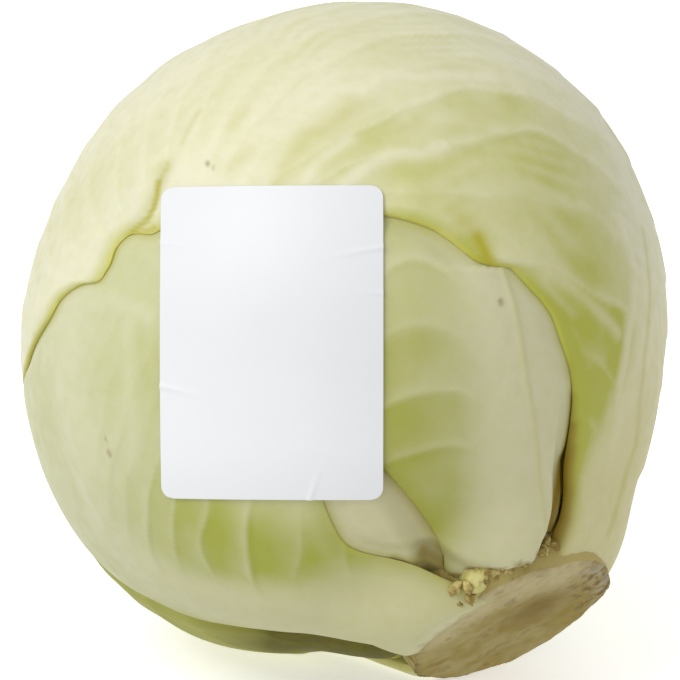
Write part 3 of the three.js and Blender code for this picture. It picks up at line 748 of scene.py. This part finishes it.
# Leaf that the head rests on
# A wrapper leaf at the back and underneath, a thin waxy blade on a fleshy rib like the others. The weight of
# the head presses it flat where it touches the ground.
lay_leaf(
    "leaf_rest", "outer_leaf", "DAD9B2", "B2B855",
    seed=37, longitude=-152, base=17.8, tip=139, rows=170, columns=130, scar=0.4,
    rib=[(17, 0), (90, 3), (139, 3)], rib_half=8, rib_height=2.2,
    side_drop=2, edge_lift=0.6, edge_wave=1.3, vein_spacing=10, vein_height=0.5, vein_end=140,
    left=[(17.8, 8), (30, 13), (45, 22), (65, 33), (90, 43), (115, 38), (139, 12)],
    right=[(17.8, 9), (30, 14), (45, 21), (65, 31), (90, 38), (115, 33), (139, 12)],
    leafy=0.3, ripe=0.35, edge_green=0.35, fine_streaks=0.03, streaks=0.2, margin=[(17, 0.4), (139, 0.4)],
    patches=[(60, 14, 18, 0.3), (80, -16, 18, 0.3)])

# Right back leaf
# The wrapper leaf on the far right, half under the crown leaf. Its rib grows out of the stem's far side, and
# its blade lies tight on the heart.
lay_leaf(
    "leaf_right_back", "outer_leaf", "DCDAB6", "B9BE58",
    seed=41, longitude=136, base=18.8, tip=139, rows=170, columns=130, scar=0.4,
    rib=[(18, 0), (90, -3), (139, -3)], rib_half=8, rib_height=2.2,
    side_drop=2, edge_lift=0.6, edge_wave=1.3, vein_spacing=10, vein_height=0.5, vein_end=140,
    left=[(18.8, 9), (30, 14), (45, 22), (65, 32), (90, 38), (115, 32), (139, 12)],
    right=[(18.8, 9), (30, 14), (45, 22), (65, 34), (90, 42), (115, 36), (139, 12)],
    leafy=0.3, ripe=0.35, edge_green=0.35, fine_streaks=0.03, streaks=0.2, margin=[(18, 0.4), (139, 0.4)],
    patches=[(60, 14, 18, 0.3), (70, -14, 16, 0.3)])

# Leaf under the left leaf
# An older leaf whose wax is worn off. It shows as a darker green strip along the bottom of the head. Its dark
# olive colours and strong green patch are partly its own colour and partly painted shade from under the head.
lay_leaf(
    "leaf_under", "outer_leaf", "B2B458", "5C5602", shine=0.1,
    seed=53, longitude=-102, base=16, tip=121, rows=140, columns=110, scar=0.3,
    rib=[(17, -14), (121, -10)], rib_half=7, rib_height=1.8,
    side_drop=2, sink=5.5, edge_lift=0.4, edge_wave=1.3, vein_spacing=10, vein_height=0.4, vein_end=120,
    left=[(16, 8), (30, 14), (45, 23), (65, 32), (90, 34), (121, 12)],
    right=[(16, 16), (19, 19), (30, 25), (45, 28), (65, 32), (90, 34), (121, 12)],
    leafy=0.15, ripe=0.2, edge_green=0.5, fine_streaks=0.02, streaks=0.1, margin=[(16, 0.4), (121, 0.4)],
    patches=[(27, 7, 17, 1.4)])

# Middle leaf
# The leaf at the lower centre, tucked under the crown leaf's edge. Its cream rib is wide, with a fine yellow
# ridge on it, and its base is torn where it leaves the stem.
lay_leaf(
    "leaf_middle", "outer_leaf", "D0CEAA", "9FA23E",
    seed=67, longitude=25, base=22.8, tip=116, rows=160, columns=140, torn=0.6, scar=0.75,
    rib=[(22, 1), (45, 2), (74, 3), (116, 4)], rib_half=10, rib_height=2.2,
    side_drop=1, edge_lift=0, edge_wave=0.3,
    vein_spacing=9, vein_phases=(0.12, 0.1), vein_sides=(1, 0.25), vein_height=0.35,
    vein_end=120, vein_rise=34, vein_reach=10, vein_slope=-0.4,
    left=[(22.8, 13.5), (29, 15.5), (41, 21), (52, 27), (70, 34), (92, 34), (116, 12)],
    right=[(22.8, 12.5), (26, 15.2), (29, 17), (33, 18.2), (38, 19.4), (45, 20.8), (60, 24), (80, 27),
           (100, 24), (116, 10)],
    leafy=0.2, ripe=0.15, edge_green=0.2, fine_streaks=0.015, streaks=0.16, margin=[(22, 0.2), (116, 0.2)],
    patches=[(60, -22, 16, 0.55), (44, -19, 10, 0.55), (33, -14, 8, 0.4), (60, 10, 12, -0.3)],
    lines=[([(24, 3), (45, 3), (54, 3), (64, 4), (74, 5)], 0.9, 0.3, 0, 0.2)], spots=[(68, 2, 0.7)],
    clefts=[([(22, 5), (24.6, 6.8), (27, 8.6), (30, 10.4), (34, 12)], 2.8, 0.5, 1.0),
            ([(34, 12), (39.5, 13.2), (47, 14.4)], 1.8, 0.3, 0.9)])

# Leaf in the gap
# A small inner leaf that shows between the left and the middle leaf. Little light has reached it there, so it
# has stayed pale.
lay_leaf(
    "leaf_gap", "inner_leaf", "CFCDAC", "C9C98C",
    seed=71, longitude=-15, base=22, tip=73, rows=90, columns=80, scar=0.4,
    rib=[(21, 0), (73, 0)], rib_half=8, rib_height=0.8,
    side_drop=0, edge_lift=0, edge_wave=0.3, vein_spacing=9, vein_height=0.15, vein_end=80,
    left=[(22, 6), (35, 12), (50, 19), (62, 18), (73, 8)],
    right=[(22, 6), (35, 11), (50, 17), (62, 16), (73, 8)],
    leafy=0.12, ripe=0.3, edge_green=0.2, fine_streaks=0, streaks=0, margin=[(22, 0.2), (73, 0.2)],
    clefts=[([(25, 2.5), (29, 1.5)], 2.2, 0.4, 0.7), ([(27, 0.8), (33, -2.8)], 1.2, 0.2, 0.5),
            ([(27, 3.2), (32, 5), (38.4, 6.2), (44.8, 6.6), (54, 6)], 2.6, 0.4, 0.35)])

# Heart
# The tight ball of inner leaves, which grow out of the stem's inner end. It shows only as the dark floor of
# the clefts between the leaf bases.
HEART_ROWS = 90
HEART_COLUMNS = 120
HEART_CLEARANCE = 0.5
HEART_NECK = 10
HEART_NECK_LATITUDES = (22, 48)
HEART_SHADE_LATITUDES = (40, 75)
STEM_SEAT = 58
STEM_SEAT_LATITUDES = (19.4, 26.4)
TURNED_SHARP_ANGLE = 60


def turned_mesh(name, rings, first, last, marks):
    """Closed mesh from rings of points between two end points, in metres, with marks as point attributes."""
    count, sides = rings.shape[:2]
    points = np.concatenate([rings.reshape(-1, 3), [first, last]])
    grid = np.arange(count * sides).reshape(count, sides)
    after = np.roll(grid, -1, 1)
    quads = np.stack([grid[:-1], after[:-1], after[1:], grid[1:]], -1).reshape(-1, 4)
    start, end = count * sides, count * sides + 1
    fans = [(start, b, a) for a, b in zip(grid[0].tolist(), after[0].tolist())]
    fans += [(end, a, b) for a, b in zip(grid[-1].tolist(), after[-1].tolist())]
    mesh = bpy.data.meshes.new(name)
    mesh.from_pydata(points.tolist(), [], quads.tolist() + fans)
    for mark, values in marks.items():
        layer = mesh.attributes.new(mark, "FLOAT", "POINT")
        ends = [values[0].mean(), values[-1].mean()]
        layer.data.foreach_set("value", np.concatenate([values.reshape(-1), ends]).astype(np.float32))
    # The rings are rolled out over the UV square, with a fan of triangles along its lower and upper edge
    u, v = np.arange(sides + 1) / sides, np.linspace(0.02, 0.98, count)
    corners = [[(u[j], v[i]), (u[j + 1], v[i]), (u[j + 1], v[i + 1]), (u[j], v[i + 1])]
               for i in range(count - 1) for j in range(sides)]
    corners += [[(u[j], 0), (u[j + 1], v[0]), (u[j], v[0])] for j in range(sides)]
    corners += [[(u[j], 1), (u[j], v[-1]), (u[j + 1], v[-1])] for j in range(sides)]
    layer = mesh.uv_layers.new(name="OFBake")
    places = [x for face in corners for corner in face for x in corner]
    layer.data.foreach_set("uv", np.array(places, np.float32))
    mesh.shade_smooth()
    mesh.set_sharp_from_angle(angle=math.radians(TURNED_SHARP_ANGLE))
    return mesh


latitude, longitude = np.mgrid[180 / HEART_ROWS:180 - 180 / HEART_ROWS:(HEART_ROWS - 1) * 1j,
                               0:360 - 360 / HEART_COLUMNS:HEART_COLUMNS * 1j]
way = direction(latitude, longitude)
neck = HEART_NECK * (1 - smooth(latitude, *HEART_NECK_LATITUDES))
free = skin_radius(way) - depth_under(way) - HEART_CLEARANCE - neck
radius = mix(STEM_SEAT, free, smooth(latitude, *STEM_SEAT_LATITUDES))
poles = laid_down(np.array([[0, 0, -STEM_SEAT], [0, 0, free[-1].mean()]]))
# The mark holds painted shade: strong near the stem, fading out further up the heart.
heart_mesh = turned_mesh("heart", laid_down(way * radius[..., None]), *poles,
                         {"deep": 1 - smooth(latitude, *HEART_SHADE_LATITUDES)})

# Inner leaf: cream tissue, with painted olive-brown shade deep in the clefts round the stem.
cleft_shade, tree, surface = new_material("shaded_inner_leaf", {"Roughness": 0.6, "IOR": 1.4})
where = add(tree, "TexCoord", output="Object")
cloud = add(tree, "TexNoise", {"Vector": where, "Scale": 1 / (6 * MM), "Detail": 3.0})
shade = add(tree, "Mix", {0: cloud, 6: "6E5A12", 7: "A09038"}, 2, data_type="RGBA")
deep = add(tree, "Attribute", output="Fac", attribute_name="deep")
tone = add(tree, "Mix", {0: deep, 6: "CFCDA6", 7: shade}, 2, data_type="RGBA")
tree.links.new(tone, surface.inputs["Base Color"])
place("heart", heart_mesh, cleft_shade, "heart")

# Cut stem
# The stump, cut off aslant with a knife and dried to a tan face, browner at its ragged rim and grey at one
# end. Leaf bases torn off on the label's side leave a groove round it.
STEM_HALF_ANGLE = 18.4
STEM_WIDENING = 0.9
STEM_WIDE_LONGITUDE = 75
STEM_NARROWING = 2.6
STEM_SIDES = 240
STEM_FACE_RINGS = 46
STEM_EMBEDDED = 0.4
# Sides of the stem: longitude, and the cosines away from it between which each side ends.
NARROW_SIDE = (-108, 0.3, 1)
UPPER_SIDE = (20, -0.1, 0.7)
LOWER_LEFT = (-105, 0.2, 0.9)
CROWN_SIDE = (75, 0.4, 0.85)
FAR_END = (95, 0.75, 0.98)
# Noise on the stem: how the finer layers fall off, how much finer each is, and how many there are. A pattern
# of it has a size in millimetres and a shift that sets it apart from the next.
NOISE_LAYERS = (0.6, 2.0, 3)
NOTCHES = (5, 0)
NICKS = (2, 50)
HOLLOWS = (9, 0)
KNIFE_LINES = (2.2, 0)
GRIT = (2.6, 30)
CRUST_CLOUDS = (11, 90)
CRUST_FRINGE = (6, 15)
OLIVE_SPECKS = (2.6, 40)
RIM_SPOTS = (3, 10)
BROWN_CLOUDS = (6, 60)
END_SPOTS = (2.4, 70)
WALL_FIBRES = (2.5, 20)
# Rim: waves in degrees with their count and phase, then heights in millimetres.
RIM_WAVES = ((0.3, 3, 40), (0.2, 7, 0))
NOTCH_DEPTH = 0.4
NICK_DEPTH = 0.15
RIM_BEVEL = 0.8
# Face: heights in millimetres. A pair is a stretch of the way out to the rim, in shares of it.
FACE_LIFT = 0.3
HOLLOW_DEPTH = 0.38
KNIFE_DEPTH = 0.04
KNIFE_STRETCH = 5
GRIT_DEPTH = 0.08
DISH_DEPTH = 0.5
RAGGED_OUT = (0.8, 1)
BEVEL_OUT = (0.85, 1.02)
DISH_OUT = (0, 0.6)
UPPER_CRUST_OUT = (0.4, 0.85)
WORN_OUT = (0.92, 1)
END_CRUST_OUT = (0.5, 0.8)
END_BROWN_OUT = (0.5, 0.85)
END_GREY_OUT = (0.75, 0.95)
# Colours: their strength, and the range of a pattern over which each comes in.
CLOUD_CRUST, CLOUD_CRUST_RANGE = 0.3, (-0.2, 0.6)
KNIFE_CRUST = 0.06
UPPER_CRUST, UPPER_CRUST_FRINGE = 0.9, 0.12
END_CRUST_LOSS = 0.6
OLIVE, OLIVE_RANGE = 0.15, (-0.1, 0.6)
DARK_SPOT = 0.9
DARK_SPOT_OUT = 9
DARK_SPOT_LONGITUDE = 75
DARK_SPOT_REACH = 8
RIM_BROWN, RIM_BROWN_RANGE = (0.25, 0.8), (-0.5, 0.4)
CLOUD_BROWN, CLOUD_BROWN_RANGE = 0.35, (0.3, 0.75)
END_BROWN, END_BROWN_RANGE = 0.85, (0, 0.4)
END_GREY, END_GREY_RANGE = 0.75, (-0.1, 0.4)
WALL_BROWN, WALL_BROWN_RANGE = 0.55, (0, 0.5)
WALL_TORN, WALL_TORN_RANGE = 0.8, (-0.4, 0.2)
# Shoulder below the rim: millimetres down from the cut, and out from the rim.
STEM_SHOULDER = [(0.25, 0.2), (0.8, 0.5), (1.8, 1.0), (3.2, 1.8), (5, 2.6), (7.5, 3.4), (11, 3.4), (15, 1.0),
                 (17.4, -3)]
SHOULDER_START = 1.0
SHOULDER_SLIM = 0.3
SHOULDER_RAGGED = 0.6
SHOULDER_ROUGH = 0.005
SHOULDER_CALM = 0.8
STEM_TINTS = {"crust": "C6BA8C", "grain": "806A32", "grey": "B0AA9C", "brown": "70552A", "torn": "B8A868"}

turn = np.linspace(0, 360, STEM_SIDES, endpoint=False)


def on_side(longitude, low, high):
    """1 on one side of the stem and 0 on the others, all round the rim."""
    return smooth(np.cos(np.radians(turn - longitude)), low, high)


def cut_height(points):
    """How far below the head's centre the slanted cut lies under points of the stem."""
    slope = math.radians(STEM_CUT_TILT)
    return (STEM_CUT - points[..., 0] * math.sin(slope)) / math.cos(slope)


def rough(points, size, shift):
    """One pattern of noise at points in millimetres, about -1 to 1."""
    values = [noise.fractal(Vector(point) / size, *NOISE_LAYERS) for point in (points + shift).reshape(-1, 3)]
    return np.array(values).reshape(points.shape[:-1])


rim_angle = (STEM_HALF_ANGLE + STEM_WIDENING * np.cos(np.radians(turn - STEM_WIDE_LONGITUDE))
             - STEM_NARROWING * on_side(*NARROW_SIDE))
for height, count, phase in RIM_WAVES:
    rim_angle = rim_angle + height * np.sin(np.radians(count * turn + phase))
rim_out = STEM_CUT * np.tan(np.radians(rim_angle))
circle = direction(90, turn)
rim = rim_out[:, None] * circle
ragged = NOTCH_DEPTH * rough(rim, *NOTCHES) + NICK_DEPTH * rough(rim, *NICKS)
lower_left = on_side(*LOWER_LEFT)
under_crown = on_side(*CROWN_SIDE)
far_end = on_side(*FAR_END)

# The cut face: shallow hollows, knife marks, a bevelled rim and a dished middle
out = np.linspace(1 / STEM_FACE_RINGS, 1, STEM_FACE_RINGS)[:, None]
face = (out * rim_out * (1 + smooth(out, *RAGGED_OUT) * ragged / rim_out))[..., None] * circle
knife = np.stack([face @ direction(90, STEM_WIDE_LONGITUDE) / KNIFE_STRETCH,
                  face @ direction(90, STEM_WIDE_LONGITUDE + 90), np.zeros(face.shape[:2])], -1)
knife_marks = rough(knife, *KNIFE_LINES)
low = (HOLLOW_DEPTH * rough(face, *HOLLOWS) + KNIFE_DEPTH * knife_marks + GRIT_DEPTH * rough(face, *GRIT)
       + RIM_BEVEL * smooth(out, *BEVEL_OUT) ** 2 + DISH_DEPTH * (1 - smooth(out, *DISH_OUT)))

# Its colours: pale crust on the upper side, a dark olive spot, a brown rim, and grey and brown at the far end
crust = CLOUD_CRUST * smooth(rough(face, *CRUST_CLOUDS) + KNIFE_CRUST * knife_marks, *CLOUD_CRUST_RANGE)
fringe = out + UPPER_CRUST_FRINGE * rough(face, *CRUST_FRINGE)
crust = np.maximum(crust, UPPER_CRUST * on_side(*UPPER_SIDE) * smooth(fringe, *UPPER_CRUST_OUT))
crust = crust * (1 - END_CRUST_LOSS * far_end * smooth(out, *END_CRUST_OUT))
from_dark_spot = np.linalg.norm(face - DARK_SPOT_OUT * direction(90, DARK_SPOT_LONGITUDE), axis=-1)
grain = OLIVE * smooth(rough(face, *OLIVE_SPECKS), *OLIVE_RANGE)
grain = np.maximum(grain, DARK_SPOT * np.exp(-(from_dark_spot / DARK_SPOT_REACH) ** 2))
brown = smooth(out, *WORN_OUT) * mix(*RIM_BROWN, lower_left)
brown = brown * smooth(rough(face, *RIM_SPOTS), *RIM_BROWN_RANGE)
brown = np.maximum(brown, CLOUD_BROWN * smooth(rough(face, *BROWN_CLOUDS), *CLOUD_BROWN_RANGE))
end_spots = rough(face, *END_SPOTS)
end_brown = END_BROWN * far_end * smooth(out, *END_BROWN_OUT) * smooth(-end_spots, *END_BROWN_RANGE)
brown = np.maximum(brown, end_brown)
grey = END_GREY * far_end * smooth(out, *END_GREY_OUT) * smooth(end_spots, *END_GREY_RANGE)
face[..., 2] = -cut_height(face) + FACE_LIFT + np.maximum(low, -FACE_LIFT)

# The wall below the rim, slimmer where leaves lie against it
shoulder = np.array(STEM_SHOULDER)
slim = mix(1, SHOULDER_SLIM, np.maximum(lower_left, under_crown))
wall = (rim_out + ragged * SHOULDER_RAGGED + shoulder[:, 1:] * slim)[..., None] * circle
wall[..., 2] = -cut_height(wall) + SHOULDER_START + shoulder[:, :1]
fibres = rough(wall, *WALL_FIBRES)
wall = wall * (1 + SHOULDER_ROUGH * (fibres * (1 - SHOULDER_CALM * under_crown))[..., None])
wall_brown = WALL_BROWN * smooth(fibres, *WALL_BROWN_RANGE) * (1 - under_crown)
wall_torn = np.maximum(WALL_TORN * smooth(-fibres, *WALL_TORN_RANGE), under_crown)
off_face, off_wall = np.zeros(face.shape[:2]), np.zeros(wall.shape[:2])
marks = {"crust": (crust, off_wall), "grain": (grain, off_wall), "grey": (grey, off_wall),
         "brown": (brown, wall_brown), "torn": (off_face, wall_torn)}
marks = {name: np.concatenate(parts) for name, parts in marks.items()}
ends = laid_down(np.array([[0, 0, -(STEM_CUT - RIM_BEVEL)], [0, 0, -STEM_SEAT - STEM_EMBEDDED]]))
stem_mesh = turned_mesh("stem", laid_down(np.concatenate([face, wall])), *ends, marks)

# Dried cut stem: a tan crust over olive tissue, with knife marks, brown spots and a grey end. Its fibres are
# drawn over a millimetre wide, coarser than they are, so that they show.
dried, tree, surface = new_material("dried_stem", {"Roughness": 0.85, "IOR": 1.4})
where = add(tree, "TexCoord", output="Object")
fibres = add(tree, "TexNoise", {"Vector": where, "Scale": 1 / (1.4 * MM), "Detail": 4.0})
tone = add(tree, "Mix", {0: fibres, 6: "A5944C", 7: "93803F"}, 2, data_type="RGBA")
for mark, tint in STEM_TINTS.items():
    share = add(tree, "Attribute", output="Fac", attribute_name=mark)
    tone = add(tree, "Mix", {0: share, 6: tone, 7: tint}, 2, data_type="RGBA")
bump = add(tree, "Bump", {"Height": fibres, "Strength": 0.2, "Distance": 0.25 * MM})
tree.links.new(tone, surface.inputs["Base Color"])
tree.links.new(bump, surface.inputs["Normal"])
place("stem", stem_mesh, dried, "stem")

# Torn scraps
# Crumbs of leaf base left in the groove where leaves were torn off above the stem. They hang on there by
# their own fibres.
SCRAPS = 26
SCRAP_LONGITUDES = (-14, 40)
SCRAP_LATITUDES = (20.8, 23.4)
SCRAP_SIZES = (0.5, 1.5)
SCRAP_SHAPE = (1.1, 0.8, 1.3)
SCRAP_SUNK = (0.4, 2.6)
SCRAP_SEED = 5
SCRAP_NOISE_STEP = 3
LUMPINESS = 0.5
LUMP_PACE = 0.9


def lumps_mesh(name, lumps):
    """Torn lumps of tissue that stand up out of the groove; their sizes are across, along and up."""
    body = bmesh.new()
    for latitude, longitude, sizes, sunk, noise_place in lumps:
        outward = direction(latitude, longitude)
        sideways = direction(90, longitude + 90)
        axes = np.stack([sideways, np.cross(outward, sideways), outward])
        foot = outward * (free_radius(outward) - sunk)
        for vert in bmesh.ops.create_icosphere(body, subdivisions=3, radius=1)["verts"]:
            noise_at = vert.co * LUMP_PACE + Vector((noise_place, 0, 0))
            lumpy = 1 + LUMPINESS * noise.fractal(noise_at, *NOISE_LAYERS)
            local = np.array(vert.co) * np.array(sizes) * lumpy
            vert.co = Vector(laid_down(foot + local @ axes))
    mesh = bpy.data.meshes.new(name)
    body.to_mesh(mesh)
    body.free()
    mesh.shade_smooth()
    return mesh


draw = np.random.default_rng(SCRAP_SEED)
scraps = []
for number in range(SCRAPS):
    longitude = mix(*SCRAP_LONGITUDES, (number + draw.random()) / SCRAPS)
    latitude = mix(*SCRAP_LATITUDES, draw.random())
    sizes = mix(*SCRAP_SIZES, draw.random(3)) * SCRAP_SHAPE
    sunk = mix(*SCRAP_SUNK, draw.random())
    scraps.append((latitude, longitude, sizes, sunk, SCRAP_NOISE_STEP * number))

# Torn tissue: yellow where it is fresh and brown where it has dried.
tissue, tree, surface = new_material("torn_tissue", {"Roughness": 0.7, "IOR": 1.4})
where = add(tree, "TexCoord", output="Object")
dry = add(tree, "TexNoise", {"Vector": where, "Scale": 1 / (2.5 * MM), "Detail": 3.0})
dry = add(tree, "MapRange", (dry, 0.4, 0.62, 0.0, 1.0))
tone = add(tree, "Mix", {0: dry, 6: "CFC07C", 7: "8C7434"}, 2, data_type="RGBA")
tree.links.new(tone, surface.inputs["Base Color"])
place("torn_scraps", lumps_mesh("torn_scraps", scraps), tissue, "stem")

# Stub
# One yellow stub of a leaf stalk that still stands in the groove. It is fresher and moister than the crumbs
# round it.
STUB_LATITUDE = 22.2
STUB_LONGITUDE = -1
STUB_SIZES = (3.3, 2.3, 3.2)
STUB_SUNK = 2.0
STUB_NOISE_PLACE = 100

# Fresh stalk: pale yellow tissue, still moist.
stalk, tree, surface = new_material("fresh_stalk", {"Roughness": 0.5, "IOR": 1.4})
where = add(tree, "TexCoord", output="Object")
cloud = add(tree, "TexNoise", {"Vector": where, "Scale": 1 / (3 * MM), "Detail": 3.0})
tone = add(tree, "Mix", {0: cloud, 6: "E0DA98", 7: "C2B560"}, 2, data_type="RGBA")
tree.links.new(tone, surface.inputs["Base Color"])
stub = [(STUB_LATITUDE, STUB_LONGITUDE, STUB_SIZES, STUB_SUNK, STUB_NOISE_PLACE)]
place("stub", lumps_mesh("stub", stub), stalk, "stem")

# Floor, light and camera
# A plain pale table, one large soft light from the upper left and a weak one low in front. The camera looks
# slightly down on the head with a long lens, square on to the label.
CAMERA_DISTANCE = 1100
CAMERA_ELEVATION = 18
FRAME_WIDTH = 152
AIM_RIGHT = -0.9
AIM_UP = -1.8
SENSOR = 36
FLOOR_HALF = 4
FLOOR_GLOW = 0.5
SKY_STRENGTH = 0.7

floor_mesh = bpy.data.meshes.new("floor")
floor_corners = [(-1, -1, 0), (1, -1, 0), (1, 1, 0), (-1, 1, 0)]
floor_mesh.from_pydata([Vector(corner) * FLOOR_HALF for corner in floor_corners], [], [(0, 1, 2, 3)])
floor = bpy.data.objects.new("floor", floor_mesh)
bpy.context.scene.collection.objects.link(floor)
# Pale table: matt and almost white, with a little light of its own so that it stays white behind the head.
table, tree, surface = new_material("pale_table", {
    "Base Color": "F4F4F3", "Roughness": 0.7, "Emission Color": "FFFFFF", "Emission Strength": FLOOR_GLOW})
floor_mesh.materials.append(table)
floor.visible_diffuse = False
floor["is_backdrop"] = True

world = bpy.data.worlds.new("studio")
world.use_nodes = True
background = world.node_tree.nodes["Background"]
background.inputs["Color"].default_value = linear("FFFFFF")
background.inputs["Strength"].default_value = SKY_STRENGTH
bpy.context.scene.world = world


def soft_light(name, place_mm, size_mm, power):
    """Square area light that looks at the head; its place is given from the head's centre."""
    lamp = bpy.data.lights.new(name, "AREA")
    lamp.size = size_mm * MM
    lamp.energy = power
    light = bpy.data.objects.new(name, lamp)
    light.location = head_centre + Vector(place_mm) * MM
    light.rotation_euler = Vector(place_mm).to_track_quat("Z", "Y").to_euler()
    bpy.context.scene.collection.objects.link(light)


soft_light("key", (-600, -480, 800), 600, 5.9)
soft_light("fill", (-350, -1000, -150), 700, 1.8)
bpy.context.scene.view_settings.view_transform = "Standard"

elevation = math.radians(CAMERA_ELEVATION)
view_up = Vector((0, math.sin(elevation), math.cos(elevation)))
view_back = Vector((0, -math.cos(elevation), math.sin(elevation)))
lens = bpy.data.cameras.new("camera")
lens.sensor_width = SENSOR
lens.lens = SENSOR * CAMERA_DISTANCE / FRAME_WIDTH
camera = bpy.data.objects.new("camera", lens)
camera.location = (head_centre + (Vector((1, 0, 0)) * AIM_RIGHT + view_up * AIM_UP) * MM
                   + view_back * CAMERA_DISTANCE * MM)
camera.rotation_euler = view_back.to_track_quat("Z", "Y").to_euler()
bpy.context.scene.collection.objects.link(camera)
bpy.context.scene.camera = camera

sizes = {"cad": [list(corner) for corner in cad_box], "visual": [list(corner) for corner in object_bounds()]}
